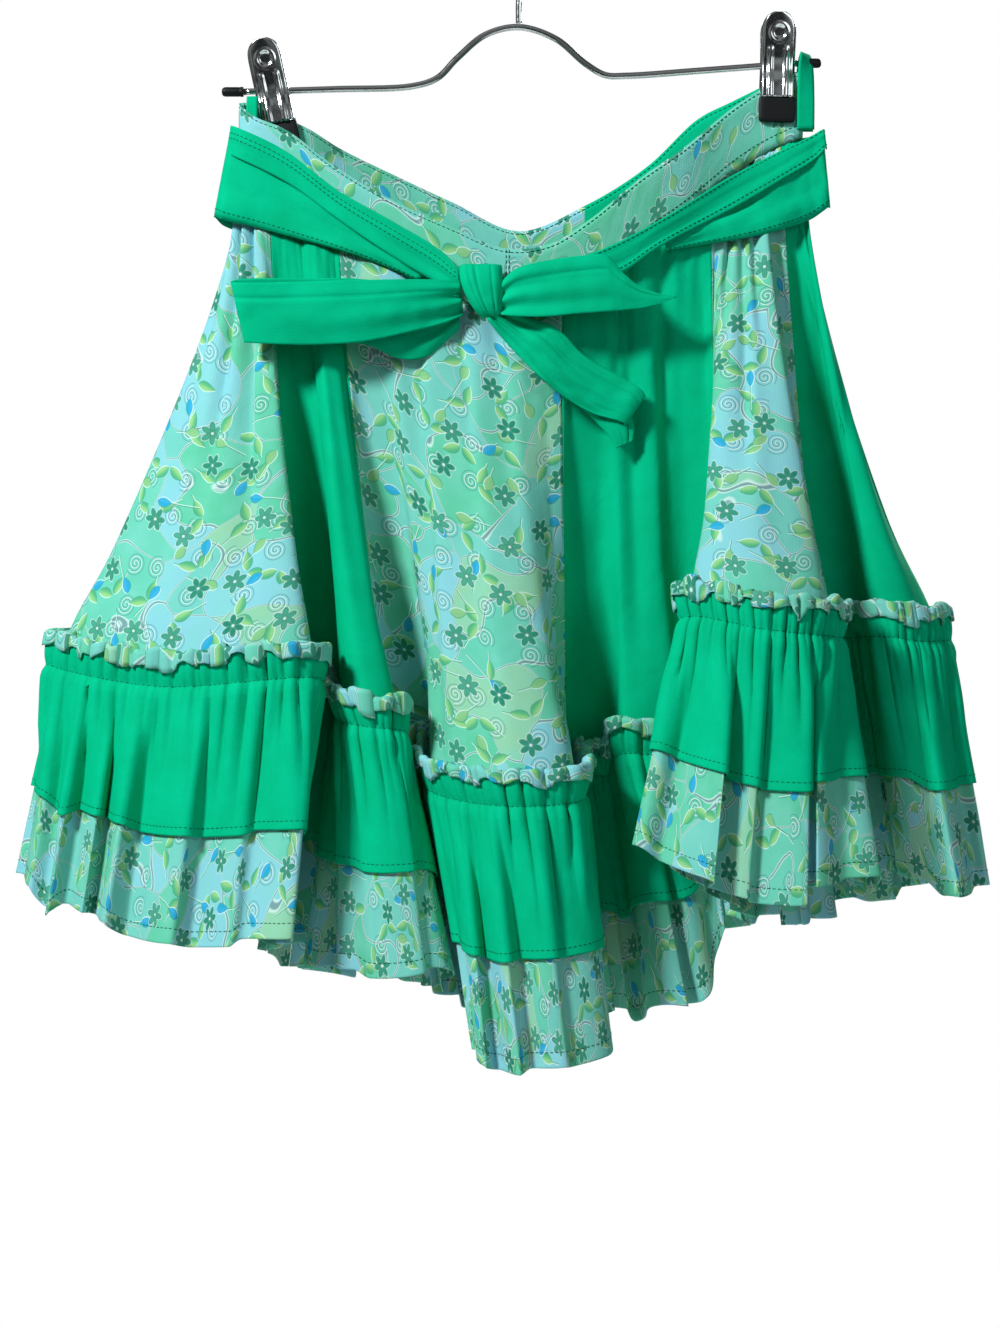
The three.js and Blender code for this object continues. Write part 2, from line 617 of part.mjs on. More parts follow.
const bowLoopLow = [
  { ax: -12, az: -258.6, bx: -20, bz: -264, y: knotY - 1 },
  { ax: 12, az: -267, bx: -2, bz: -280, off: 7 },
  { ax: 26, az: -277, bx: 8, bz: -295, off: 6 },
  { ax: 45, az: -292, bx: 24, bz: -310, off: 6 },
  { ax: 62, az: -303, bx: 42, bz: -321, off: 6 },
  { ax: 73, az: -308, bx: 57, bz: -323, off: 7 },
];
addMesh('bow_loop_low', sheetSolid(layBand(bowLoopLow, -1, 2), clothWall), colours.green);

const bowTailLow = [
  { ax: 40, az: -298, bx: 26, bz: -305, off: 3.8 },
  { ax: 58, az: -312, bx: 44, bz: -322, off: 3.6 },
  { ax: 66, az: -326, bx: 54, bz: -333, off: 2.6 },
  { ax: 66, az: -337, bx: 57, bz: -340, off: 2.6 },
];
addMesh('bow_tail_low', sheetSolid(layBand(bowTailLow, -1, 2), clothWall), colours.green);

// ---- Hanging loops of tape ----

// A tape that rises, turns over and comes down again, seen edge on in the YZ plane
function tapeLoop(rows, x, wide) {
  const curve = new THREE.CatmullRomCurve3(
    rows.map((row) => new THREE.Vector3(x, row.y, row.z)), false, 'centripetal',
  );
  const grid = curve.getPoints(rows.length * 2).map((p) => [-wide / 2, 0, wide / 2].map(
    (across) => p.clone().add(new THREE.Vector3(across, 0, 0)),
  ));
  return sheetSolid(grid, clothWall);
}

const loopRightRows = [
  { y: -3.2, z: -146 },
  { y: -4.2, z: -128 },
  { y: -4.4, z: -110 },
  { y: -3.2, z: -102.5 },
  { y: 0, z: -100 },
  { y: 3.2, z: -102.5 },
  { y: 4.4, z: -110 },
  { y: 4.2, z: -128 },
  { y: 3.2, z: -146 },
];
addMesh('hanging_loop_right', tapeLoop(loopRightRows, 172.4, 11.4), colours.green);

const loopLeftRows = [
  { y: -5.8, z: -160 },
  { y: -5.8, z: -132 },
  { y: -7.7, z: -127.5 },
  { y: -9.6, z: -132 },
  { y: -9.6, z: -160 },
];
addMesh('hanging_loop_left', tapeLoop(loopLeftRows, -159.4, 6.4), colours.green);

// ---- Hanger ----

function wireSolid(rows, radius, sides, steps) {
  const path = new THREE.CatmullRomCurve3(
    rows.map((row) => new THREE.Vector3(row.x, row.y ?? 0, row.z)), false, 'centripetal',
  );
  const section = new THREE.Shape();
  for (let i = 0; i < sides; i += 1) {
    const turn = 2 * Math.PI * (i + 0.5) / sides;
    const [x, y] = [radius * Math.cos(turn), radius * Math.sin(turn)];
    if (i === 0) {
      section.moveTo(x, y);
    } else {
      section.lineTo(x, y);
    }
  }
  return new THREE.ExtrudeGeometry(section, { steps, extrudePath: path, bevelEnabled: false });
}

const barLeft = { x: -165, z: -122.8 };
const barRight = { x: 168, z: -105.6 };
const humpTop = { x: 0, z: -84 };
const barRows = [
  barLeft,
  { x: -110, z: -121.2 },
  { x: -64, z: -119.4 },
  { x: -49, z: -114.5 },
  { x: -37, z: -102.5 },
  { x: -20, z: -88.5 },
  humpTop,
  { x: 22, z: -91 },
  { x: 40, z: -106 },
  { x: 52, z: -112.8 },
  { x: 64, z: -113.2 },
  { x: 110, z: -110 },
  barRight,
];
addMesh('hanger_bar', wireSolid(barRows, wireRadius, 8, 44), colours.chrome);

// The hook rises from the hump, bends aside and loops over the origin
const hookReach = 21;
const hookRows = [
  { x: 0, z: humpTop.z + wireRadius + 0.3 },
  { x: 0, z: -70 },
  { x: 1, z: -58 },
  { x: 9, z: -46 },
  { x: 18.5, z: -34 },
  { x: hookReach, z: -19 },
];
for (let turn = 30; turn <= 210; turn += 30) {
  const angle = THREE.MathUtils.degToRad(turn);
  const radius = hookReach;
  hookRows.push({
    x: radius * Math.cos(angle),
    z: wireRadius - radius + radius * Math.sin(angle),
  });
}
const hookGroup = new THREE.Group();
skirt.add(hookGroup);
addMesh('hanger_hook', wireSolid(hookRows, wireRadius, 8, 34), colours.chrome, hookGroup);

const tipLength = 13;
function addTip(name, end, outward) {
  const tip = new THREE.CylinderGeometry(tipRadius, tipRadius, tipLength, 12);
  const mesh = addMesh(name, tip, colours.rubber);
  mesh.rotation.z = Math.PI / 2;
  mesh.position.set(end.x + outward * (tipLength / 2 + seamGap), 0, end.z);
}
addTip('hanger_tip_left', barLeft, -1);
addTip('hanger_tip_right', barRight, 1);

// ---- Clips ----

// A jaw's middle surface from its thumb end to the pad: height from the bar, distance from the
// bar's axis plane, and its share of the full width, which rounds off at the top
const jawRows = [
  { z: 30, y: 9.2, share: 0.36 },
  { z: 28.2, y: 8.7, share: 0.68 },
  { z: 24.5, y: 7.8, share: 0.92 },
  { z: 19, y: 6.6, share: 1 },
  { z: 11, y: 4.9, share: 1 },
  { z: 3, y: 2.9, share: 1 },
  { z: -3, y: 2.9, share: 1 },
  { z: -11, y: 4.6, share: 1 },
  { z: -19.7, y: 5, share: 1 },
];
const jawCrown = 0.9;
const springRadius = 3.3;
const springHeight = 7.6;
const padTop = -20;
const padHigh = 14.6;
const padThick = 3.6;

function jawSolid(side) {
  const grid = [-1, -0.5, 0, 0.5, 1].map((across) => jawRows.map((row) => new THREE.Vector3(
    across * row.share * jawWide / 2,
    side * (row.y + jawCrown * (1 - across * across)),
    row.z,
  )));
  return sheetSolid(grid, jawThick);
}

function addClip(name, place) {
  const clip = new THREE.Group();
  clip.position.set(place.x, 0, place.z);
  clip.rotation.y = -THREE.MathUtils.degToRad(place.lean);
  skirt.add(clip);
  addMesh(`${name}_jaw_front`, jawSolid(-1), colours.chrome, clip);
  addMesh(`${name}_jaw_back`, jawSolid(1), colours.chrome, clip);
  [['front', -1], ['back', 1]].forEach(([face, side]) => {
    const pad = new THREE.BoxGeometry(padWide, padThick, padHigh);
    const mesh = addMesh(`${name}_pad_${face}`, pad, colours.rubber, clip);
    mesh.position.set(0, side * (place.grip + padThick / 2), padTop - padHigh / 2);
  });
  const spring = new THREE.CylinderGeometry(springRadius, springRadius, jawWide - 4, 12);
  const mesh = addMesh(`${name}_spring`, spring, colours.chrome, clip);
  mesh.rotation.z = Math.PI / 2;
  mesh.position.z = springHeight;
}

// grip is from the clip's middle plane to a pad's face: cloth wall and gap
addClip('clip_left', { x: -148, z: -122.4, lean: 11.5, grip: 1.1 });
addClip('clip_right', { x: 155, z: -107, lean: -1.5, grip: 2.3 });

export default skirt;
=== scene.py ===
import bpy
import math
from bisect import bisect_left
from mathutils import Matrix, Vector, noise


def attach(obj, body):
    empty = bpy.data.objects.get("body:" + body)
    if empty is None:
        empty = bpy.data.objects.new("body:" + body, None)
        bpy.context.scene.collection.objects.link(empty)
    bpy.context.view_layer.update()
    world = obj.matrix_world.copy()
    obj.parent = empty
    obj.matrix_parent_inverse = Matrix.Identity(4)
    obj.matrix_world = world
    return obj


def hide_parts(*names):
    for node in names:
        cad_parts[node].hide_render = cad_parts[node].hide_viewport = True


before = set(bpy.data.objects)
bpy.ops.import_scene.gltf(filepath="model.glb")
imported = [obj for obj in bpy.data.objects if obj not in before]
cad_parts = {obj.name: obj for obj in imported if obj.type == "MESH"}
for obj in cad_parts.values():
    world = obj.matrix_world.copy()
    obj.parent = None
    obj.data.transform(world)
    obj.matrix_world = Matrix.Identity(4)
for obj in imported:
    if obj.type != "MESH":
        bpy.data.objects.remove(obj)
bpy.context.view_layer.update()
scene = bpy.context.scene
mm = 0.001

# the view and its lamps
view = {"place": (-0.0114, -1.6, -0.466), "lens": 72.3}
cameraData = bpy.data.cameras.new("camera")
cameraData.lens = view["lens"]
cameraData.sensor_fit = "VERTICAL"
cameraData.sensor_height = 36
camera = bpy.data.objects.new("camera", cameraData)
camera.location = view["place"]
camera.rotation_euler = (math.radians(90), 0, 0)
scene.collection.objects.link(camera)
scene.camera = camera
scene.view_settings.view_transform = "Standard"

lamps = {
    "key": {"at": (-1.3, -1.25, 0.8), "size": 0.34, "power": 60},
    "fill": {"at": (1.5, -1.7, 0.2), "size": 1.2, "power": 9},
    "back": {"at": (1.2, 1.6, 0.8), "size": 0.8, "power": 42},
}
for name, lamp in lamps.items():
    data = bpy.data.lights.new(name, "AREA")
    data.shape = "SQUARE"
    data.size = lamp["size"]
    data.energy = lamp["power"]
    light = bpy.data.objects.new(name, data)
    light.location = lamp["at"]
    light.rotation_euler = (Vector((0, 0, -0.45)) - light.location).to_track_quat("-Z", "Y").to_euler()
    scene.collection.objects.link(light)


def linearColour(text):
    # sRGB hex to the linear colour that Blender's sockets take
    channels = [int(text[i:i + 2], 16) / 255 for i in (1, 3, 5)]
    return tuple(c / 12.92 if c <= 0.04045 else ((c + 0.055) / 1.055) ** 2.4 for c in channels) + (1.0,)


def addNode(tree, kind, settings=None, links=None):
    # a node given as a value or link stands for its first output
    node = tree.nodes.new("ShaderNode" + kind)
    for key, value in (settings or {}).items():
        if key == "stops":
            ramp = node.color_ramp
            while len(ramp.elements) < len(value):
                ramp.elements.new(0.5)
            for element, (place, colour) in zip(ramp.elements, value):
                element.position = place
                element.color = linearColour(colour)
        elif key == "interpolation":
            node.color_ramp.interpolation = value
        elif isinstance(value, (bpy.types.Node, bpy.types.NodeSocket)):
            links = {**(links or {}), key: value}
        elif isinstance(key, str) and hasattr(node, key):
            setattr(node, key, value)
        else:
            node.inputs[key].default_value = linearColour(value) if isinstance(value, str) else value
    for key, source in (links or {}).items():
        socket = source.outputs[0] if isinstance(source, bpy.types.Node) else source
        tree.links.new(socket, node.inputs[key])
    return node


studio = {"wallFrom": 0.8, "wallTo": 0.93, "bands": 2.2, "dark": 0.02, "light": 0.27}
world = bpy.data.worlds.new("studio")
world.use_nodes = True
tree = world.node_tree
tree.nodes.clear()
around = addNode(tree, "TexCoord")
sides = addNode(tree, "SeparateXYZ", links={0: around.outputs["Generated"]})
# bright behind the skirt, with a darker room in front of it for the chrome to mirror
behind = addNode(tree, "MapRange", {1: studio["wallFrom"], 2: studio["wallTo"]}, {0: sides.outputs["Y"]})
bands = addNode(tree, "TexNoise", {"Scale": studio["bands"], "Detail": 1.0}, {0: around.outputs["Generated"]})
room = addNode(tree, "MapRange", {1: 0.4, 2: 0.62, 3: studio["dark"], 4: studio["light"]}, {0: bands.outputs["Fac"]})
strength = addNode(tree, "Mix", {"A": 0.5, "B": 1.0}, {"Factor": behind})
tree.links.new(room.outputs[0], strength.inputs["A"])
sky = addNode(tree, "Background", {"Color": (1, 1, 1, 1)}, {"Strength": strength})
addNode(tree, "OutputWorld", links={"Surface": sky})
scene.world = world


# materials, each made as the real one is
def newMaterial(name):
    made = bpy.data.materials.new(name)
    made.use_nodes = True
    made.node_tree.nodes.clear()
    return made


def finishMaterial(made, settings, links):
    tree = made.node_tree
    shader = addNode(tree, "BsdfPrincipled", settings, links)
    addNode(tree, "OutputMaterial", links={"Surface": shader})
    return made


# Both cottons are woven in plain weave. The thread spacing is near 0.35 mm, which is too fine to
# show, so the weave is drawn at about 1 mm.
weave = {"spacing": 1.0, "depth": 0.00012, "rumpleSize": 34, "rumpleDepth": 0.0018, "creaseSize": 60,
         "creaseDepth": 0.0016}


def addWeave(tree, cloth):
    # cloth is the piece's own plane in centimetres
    rounds = 1 / (weave["spacing"] * 0.1)
    warp, weft = (addNode(tree, "TexWave", {"bands_direction": way, "Scale": rounds * 0.16, "Distortion": 0.6,
                                            "Detail": 1.0}, {0: cloth}) for way in "XY")
    threads = addNode(tree, "Math", {"operation": "MULTIPLY"},
                      {0: warp.outputs["Fac"], 1: weft.outputs["Fac"]})
    threadBump = addNode(tree, "Bump", {"Strength": 0.35, "Distance": weave["depth"]},
                         {"Height": threads})
    rumple = addNode(tree, "TexNoise", {"Scale": 10 / weave["rumpleSize"], "Detail": 3.0,
                                        "Roughness": 0.55, "Distortion": 0.7}, {0: cloth})
    rumpleBump = addNode(tree, "Bump", {"Strength": 0.5, "Distance": weave["rumpleDepth"]},
                         {"Height": rumple.outputs["Fac"], "Normal": threadBump})
    # thin creases left by folding and handling
    creases = addNode(tree, "TexNoise", {"noise_type": "RIDGED_MULTIFRACTAL", "Detail": 2.0, "Roughness": 0.5,
                                         "Scale": 10 / weave["creaseSize"], "Distortion": 0.9}, {0: cloth})
    return addNode(tree, "Bump", {"Strength": 0.22, "Distance": weave["creaseDepth"]},
                   {"Height": creases.outputs["Fac"], "Normal": rumpleBump})


def clothPlane(tree):
    # the piece's cloth laid flat, in centimetres
    laid = addNode(tree, "UVMap", {"uv_map": "cloth"})
    return addNode(tree, "VectorMath", {"operation": "SCALE", "Scale": 10.0},
                   {0: laid}).outputs[0]


# Dyed cotton poplin: a close matt weave with slightly uneven dye
greenCotton = newMaterial("green cotton poplin, woven and dyed")
greenDye = {"deep": "#00A575", "full": "#00B182", "rough": 0.8}
tree = greenCotton.node_tree
plane = clothPlane(tree)
dye = addNode(tree, "TexNoise", {"Scale": 0.32, "Detail": 4.0, "Roughness": 0.6}, {0: plane})
shade = addNode(tree, "ValToRGB", {"stops": [(0.3, greenDye["deep"]), (0.7, greenDye["full"])]},
                {0: dye.outputs["Fac"]})
relief = addWeave(tree, plane)
finishMaterial(greenCotton, {"Roughness": greenDye["rough"], "Specular IOR Level": 0.03},
               {"Base Color": shade, "Normal": relief})

# Printed cotton: soft patches bounded by drawn vines, with curls, sprigs of leaves and small
# flowers in flat inks. The inks take the cloth's own matt surface.
printCotton = newMaterial("printed cotton, plain weave with screen inks")
inks = {
    "patches": [(0.0, "#58BA98"), (0.26, "#68BCB0"), (0.52, "#7CC0CA"), (0.74, "#84C09E"),
                (0.84, "#5EBCA4")],
    "patchTone": "#76C5B8", "vine": "#5B858B", "pale": "#C0DCD6", "curl": "#507B85",
    "leafDeep": "#4AA676", "leafLight": "#84C07A", "leafEdge": "#3F9074", "greenLeaf": "#78B57C",
    "blueLeaf": "#259CC6", "flower": "#157A62", "paleFlower": "#54AE93",
    "patchSize": 3.9, "sprigCell": 2.75, "sprigSpread": 0.98, "leafLong": 1.2, "leafWide": 0.27,
    "blueCell": 3.0, "blueWide": 0.28, "flowerCell": 3.3, "petals": 6, "petalAt": 0.4, "petalLong": 0.3,
    "petalWide": 0.17, "curlCell": 2.5, "curlReach": 0.62, "curlTurns": 4.0,
}
tree = printCotton.node_tree
plane = clothPlane(tree)


def motifCell(cell, randomness, shift):
    # the place inside a motif's cell, turned at random, and three random numbers for the cell
    moved = addNode(tree, "VectorMath", {"operation": "ADD", 0: plane, 1: shift}).outputs[0]
    cells = addNode(tree, "TexVoronoi", {"voronoi_dimensions": "2D", 0: moved, "Scale": 1 / cell,
                                         "Randomness": randomness})
    place = addNode(tree, "VectorMath", {"operation": "SUBTRACT", 0: moved, 1: cells.outputs["Position"]})
    chance = addNode(tree, "SeparateColor", {0: cells.outputs["Color"]})
    angle = addNode(tree, "Math", {"operation": "MULTIPLY", 0: chance, 1: 6.283})
    turned = addNode(tree, "VectorRotate", {"rotation_type": "Z_AXIS", "Vector": place,
                                            "Angle": angle})
    parts = addNode(tree, "SeparateXYZ", {0: turned})
    return parts.outputs[0], parts.outputs[1], chance.outputs[1], chance.outputs[2]


def leafFrom(along, side, long, wide):
    # how far inside a pointed leaf a place is, and how far it lies to one side of the midrib
    share = addNode(tree, "Math", {"operation": "DIVIDE", 0: along, 1: long}).outputs[0]
    back = addNode(tree, "Math", {"operation": "SUBTRACT", 0: 1.0, 1: share, "use_clamp": True}).outputs[0]
    front = addNode(tree, "Math", {"operation": "POWER", 0: share, 1: 0.75}).outputs[0]
    swell = addNode(tree, "Math", {"operation": "MULTIPLY", 0: back, 1: front}).outputs[0]
    bend = addNode(tree, "Math", {"operation": "MULTIPLY_ADD", 0: swell, 1: 0.22, 2: side}).outputs[0]
    half = addNode(tree, "Math", {"operation": "MULTIPLY", 0: swell, 1: wide * 3.3}).outputs[0]
    away = addNode(tree, "Math", {"operation": "ABSOLUTE", 0: bend}).outputs[0]
    inside = addNode(tree, "Math", {"operation": "SUBTRACT", 0: half, 1: away}).outputs[0]
    started = addNode(tree, "Math", {"operation": "GREATER_THAN", 0: along, 1: 0.0}).outputs[0]
    held = addNode(tree, "Math", {"operation": "MULTIPLY_ADD", 0: started, 1: 4.0, 2: -4.0}).outputs[0]
    return addNode(tree, "Math", {"operation": "ADD", 0: inside, 1: held}).outputs[0], bend


def fromMiddle(x, y):
    # how far a place is from its motif's middle, and in which direction
    spot = addNode(tree, "CombineXYZ", {0: x, 1: y})
    reach = addNode(tree, "VectorMath", {"operation": "LENGTH", 0: spot}).outputs["Value"]
    return reach, addNode(tree, "Math", {"operation": "ARCTAN2", 0: y, 1: x})


drift = addNode(tree, "TexNoise", {"noise_dimensions": "2D", 0: plane, "Scale": 0.2, "Detail": 0.0})
bent = addNode(tree, "VectorMath", {"operation": "MULTIPLY_ADD", 0: drift.outputs["Color"],
                                    1: (7.5, 7.5, 0), 2: plane})
patchCells = addNode(tree, "TexVoronoi", {"voronoi_dimensions": "2D", 0: bent,
                                          "Scale": 1 / inks["patchSize"]})
patchPick = addNode(tree, "SeparateColor", {0: patchCells.outputs["Color"]})
patches = addNode(tree, "ValToRGB", {"stops": inks["patches"], "interpolation": "CONSTANT",
                                     0: patchPick})
softTone = addNode(tree, "TexNoise", {0: plane, "Scale": 0.45, "Detail": 2.0})
toneShare = addNode(tree, "MapRange", {0: softTone.outputs["Fac"], 1: 0.4, 2: 0.7, 3: 0.0, 4: 0.45})
ground = addNode(tree, "Mix", {"data_type": "RGBA", 0: toneShare, 6: patches,
                               7: inks["patchTone"]})
borders = addNode(tree, "TexVoronoi", {"voronoi_dimensions": "2D", "feature": "DISTANCE_TO_EDGE",
                                       0: bent, "Scale": 1 / inks["patchSize"]})
paleVine = addNode(tree, "MapRange", {0: borders.outputs["Distance"], 1: 0.019, 2: 0.028, 3: 0.75, 4: 0.0})
withPale = addNode(tree, "Mix", {"data_type": "RGBA", 0: paleVine, 6: ground.outputs[2],
                                 7: inks["pale"]})
greyVine = addNode(tree, "MapRange", {0: borders.outputs["Distance"], 1: 0.008, 2: 0.015, 3: 0.85, 4: 0.0})
withVine = addNode(tree, "Mix", {"data_type": "RGBA", 0: greyVine, 6: withPale.outputs[2],
                                 7: inks["vine"]})

# curls: a double line that winds in to the middle of its cell
x, y, pick = motifCell(inks["curlCell"], 0.6, (7.3, 2.1, 0))[:3]
reach, bearing = fromMiddle(x, y)
turnShare = addNode(tree, "Math", {"operation": "DIVIDE", 0: bearing, 1: 6.283})
wound = addNode(tree, "Math", {"operation": "MULTIPLY_ADD", 0: reach, 1: inks["curlTurns"],
                               2: turnShare})
wind = addNode(tree, "Math", {"operation": "FRACT", 0: wound})
curlEnd = addNode(tree, "Math", {"operation": "MULTIPLY_ADD", 0: turnShare,
                                 1: 1 / inks["curlTurns"], 2: reach})
curlHere = addNode(tree, "MapRange", {0: curlEnd, 1: inks["curlReach"], 2: inks["curlReach"] + 0.01,
                                      3: 1.0, 4: 0.0})
chosen = addNode(tree, "Math", {"operation": "LESS_THAN", 0: pick, 1: 0.86})
curlMask = addNode(tree, "Math", {"operation": "MULTIPLY", 0: curlHere, 1: chosen})
layered = withVine.outputs[2]
for middle, half, colour in ((0.72, 0.15, inks["pale"]), (0.45, 0.15, inks["curl"])):
    offLine = addNode(tree, "Math", {"operation": "SUBTRACT", 0: wind, 1: middle})
    away = addNode(tree, "Math", {"operation": "ABSOLUTE", 0: offLine})
    line = addNode(tree, "MapRange", {0: away, 1: half - 0.06, 2: half + 0.04, 3: 0.72, 4: 0.0})
    mask = addNode(tree, "Math", {"operation": "MULTIPLY", 0: line, 1: curlMask})
    layered = addNode(tree, "Mix", {"data_type": "RGBA", 0: mask, 6: layered, 7: colour}).outputs[2]

# leaves: pairs on a sprig, and single blue ones, each with a pale edge one side and a dark edge the other
x, y, pick = motifCell(inks["sprigCell"], 0.5, (0, 0, 0))[:3]
mirrored = addNode(tree, "Math", {"operation": "ABSOLUTE", 0: y})
pair = addNode(tree, "CombineXYZ", {0: x, 1: mirrored})
spread = addNode(tree, "VectorRotate", {"rotation_type": "Z_AXIS", "Vector": pair,
                                        "Angle": -inks["sprigSpread"]})
pairParts = addNode(tree, "SeparateXYZ", {0: spread})
sprigStart = addNode(tree, "Math", {"operation": "SUBTRACT", 0: pairParts, 1: 0.12})
sprigLeaf = leafFrom(sprigStart.outputs[0], pairParts.outputs[1], inks["leafLong"], inks["leafWide"])
sprigHere = addNode(tree, "Math", {"operation": "LESS_THAN", 0: pick, 1: 0.86}).outputs[0]
x, y, pick, tone = motifCell(inks["blueCell"], 0.75, (5.3, 8.8, 0))
start = addNode(tree, "Math", {"operation": "ADD", 0: x, 1: 0.5})
blueLeaf = leafFrom(start.outputs[0], y, 1.05, inks["blueWide"])
blueHere = addNode(tree, "Math", {"operation": "LESS_THAN", 0: pick, 1: 0.9}).outputs[0]
isBlue = addNode(tree, "Math", {"operation": "LESS_THAN", 0: tone, 1: 0.5})
greenLeaf = addNode(tree, "MapRange", {0: sprigLeaf[1], 1: -0.16, 2: 0.16})
leafInk = addNode(tree, "Mix", {"data_type": "RGBA", 0: greenLeaf, 6: inks["leafDeep"],
                                7: inks["leafLight"]})
singleInk = addNode(tree, "Mix", {"data_type": "RGBA", 0: isBlue, 6: inks["greenLeaf"],
                                  7: inks["blueLeaf"]})
for (inside, side), here, ink in ((sprigLeaf, sprigHere, leafInk), (blueLeaf, blueHere, singleInk)):
    halo = addNode(tree, "MapRange", {0: inside, 1: -0.065, 2: -0.035, 3: 0.0, 4: 0.85})
    haloMask = addNode(tree, "Math", {"operation": "MULTIPLY", 0: halo, 1: here})
    which = addNode(tree, "Math", {"operation": "GREATER_THAN", 0: side, 1: 0.0})
    edgeInk = addNode(tree, "Mix", {"data_type": "RGBA", 0: which, 6: inks["leafEdge"],
                                    7: inks["pale"]})
    edged = addNode(tree, "Mix", {"data_type": "RGBA", 0: haloMask, 6: layered,
                                  7: edgeInk.outputs[2]})
    body = addNode(tree, "MapRange", {0: inside, 1: -0.005, 2: 0.02, 3: 0.0, 4: 0.95})
    bodyMask = addNode(tree, "Math", {"operation": "MULTIPLY", 0: body, 1: here})
    layered = addNode(tree, "Mix", {"data_type": "RGBA", 0: bodyMask, 6: edged.outputs[2],
                                    7: ink.outputs[2]}).outputs[2]

# flowers: narrow dark petals with pale lines between them
x, y, pick, tone = motifCell(inks["flowerCell"], 0.6, (3.7, 9.4, 0))
reach, bearing = fromMiddle(x, y)
sector = addNode(tree, "Math", {"operation": "PINGPONG", 0: bearing, 1: math.pi / inks["petals"]})
cosine = addNode(tree, "Math", {"operation": "COSINE", 0: sector})
sine = addNode(tree, "Math", {"operation": "SINE", 0: sector})
along = addNode(tree, "Math", {"operation": "MULTIPLY", 0: reach, 1: cosine})
aside = addNode(tree, "Math", {"operation": "MULTIPLY", 0: reach, 1: sine})
beyond = addNode(tree, "Math", {"operation": "SUBTRACT", 0: along, 1: inks["petalAt"]})
longShare = addNode(tree, "Math", {"operation": "DIVIDE", 0: beyond, 1: inks["petalLong"]})
wideShare = addNode(tree, "Math", {"operation": "DIVIDE", 0: aside, 1: inks["petalWide"]})
shares = addNode(tree, "CombineXYZ", {0: longShare, 1: wideShare})
oval = addNode(tree, "VectorMath", {"operation": "LENGTH", 0: shares}).outputs["Value"]
blooms = addNode(tree, "Math", {"operation": "LESS_THAN", 0: pick, 1: 0.8}).outputs[0]
inkShare = addNode(tree, "MapRange", {0: tone, 1: 0.0, 2: 1.0, 3: 0.35, 4: 1.0})
flowerInk = addNode(tree, "Mix", {"data_type": "RGBA", 0: inkShare, 6: inks["paleFlower"],
                                  7: inks["flower"]}).outputs[2]
for low, high, strength, colour in ((1.2, 1.4, 0.5, inks["pale"]), (1.0, 1.14, 0.85, inks["flower"]),
                                    (0.7, 0.86, 0.8, flowerInk)):
    petal = addNode(tree, "MapRange", {0: oval, 1: low, 2: high, 3: strength, 4: 0.0})
    mask = addNode(tree, "Math", {"operation": "MULTIPLY", 0: petal, 1: blooms})
    layered = addNode(tree, "Mix", {"data_type": "RGBA", 0: mask, 6: layered, 7: colour}).outputs[2]
eye = addNode(tree, "MapRange", {0: reach, 1: 0.06, 2: 0.1, 3: 0.8, 4: 0.0})
eyeMask = addNode(tree, "Math", {"operation": "MULTIPLY", 0: eye, 1: blooms})
layered = addNode(tree, "Mix", {"data_type": "RGBA", 0: eyeMask, 6: layered,
                                7: inks["pale"]}).outputs[2]
relief = addWeave(tree, plane)
finishMaterial(printCotton, {"Roughness": 0.8, "Specular IOR Level": 0.04},
               {"Base Color": layered, "Normal": relief})

# Sewing thread, spun and dyed darker than the cloth, so that rows of stitches read as fine lines. The dark is partly
# painted shade: the row along the gathering line stands in for the shade of the pinch there.
threadAndPaintedShade = newMaterial("polyester sewing thread, spun and dyed")
tree = threadAndPaintedShade.node_tree
spin = addNode(tree, "TexWave", {"Scale": 900.0, "bands_direction": "DIAGONAL"},
               {0: addNode(tree, "TexCoord").outputs["Object"]})
threadAndShadeTone = addNode(tree, "ValToRGB", {"stops": [(0.0, "#033F2B"), (1.0, "#06583C")]},
                     {0: spin.outputs["Fac"]})
finishMaterial(threadAndPaintedShade, {"Roughness": 0.6, "Specular IOR Level": 0.1}, {"Base Color": threadAndShadeTone})

# Chrome plate over steel wire: bright, with faint drawing marks along the wire
chromeWire = newMaterial("chrome plate on drawn steel wire")
tree = chromeWire.node_tree
spot = addNode(tree, "TexCoord").outputs["Object"]
marks = addNode(tree, "TexNoise", {"Scale": 420.0, "Detail": 2.0}, {0: spot})
polish = addNode(tree, "MapRange", {3: 0.07, 4: 0.2}, {0: marks.outputs["Fac"]})
wireRelief = addNode(tree, "Bump", {"Strength": 0.12, "Distance": 0.0003}, {"Height": marks.outputs["Fac"]})
finishMaterial(chromeWire, {"Base Color": linearColour("#D3DADB"), "Metallic": 1.0},
               {"Roughness": polish, "Normal": wireRelief})

# Chrome plate over pressed sheet: slightly wavy, so its reflections bend
chromeSheet = newMaterial("chrome plate on pressed steel sheet")
tree = chromeSheet.node_tree
spot = addNode(tree, "TexCoord").outputs["Object"]
pressing = addNode(tree, "TexNoise", {"Scale": 90.0, "Detail": 1.0}, {0: spot})
wear = addNode(tree, "TexNoise", {"Scale": 600.0, "Detail": 3.0}, {0: spot})
polish = addNode(tree, "MapRange", {3: 0.06, 4: 0.24}, {0: wear.outputs["Fac"]})
sheetRelief = addNode(tree, "Bump", {"Strength": 0.25, "Distance": 0.0008},
                      {"Height": pressing.outputs["Fac"]})
finishMaterial(chromeSheet, {"Base Color": linearColour("#C9D1D3"), "Metallic": 1.0},
               {"Roughness": polish, "Normal": sheetRelief})

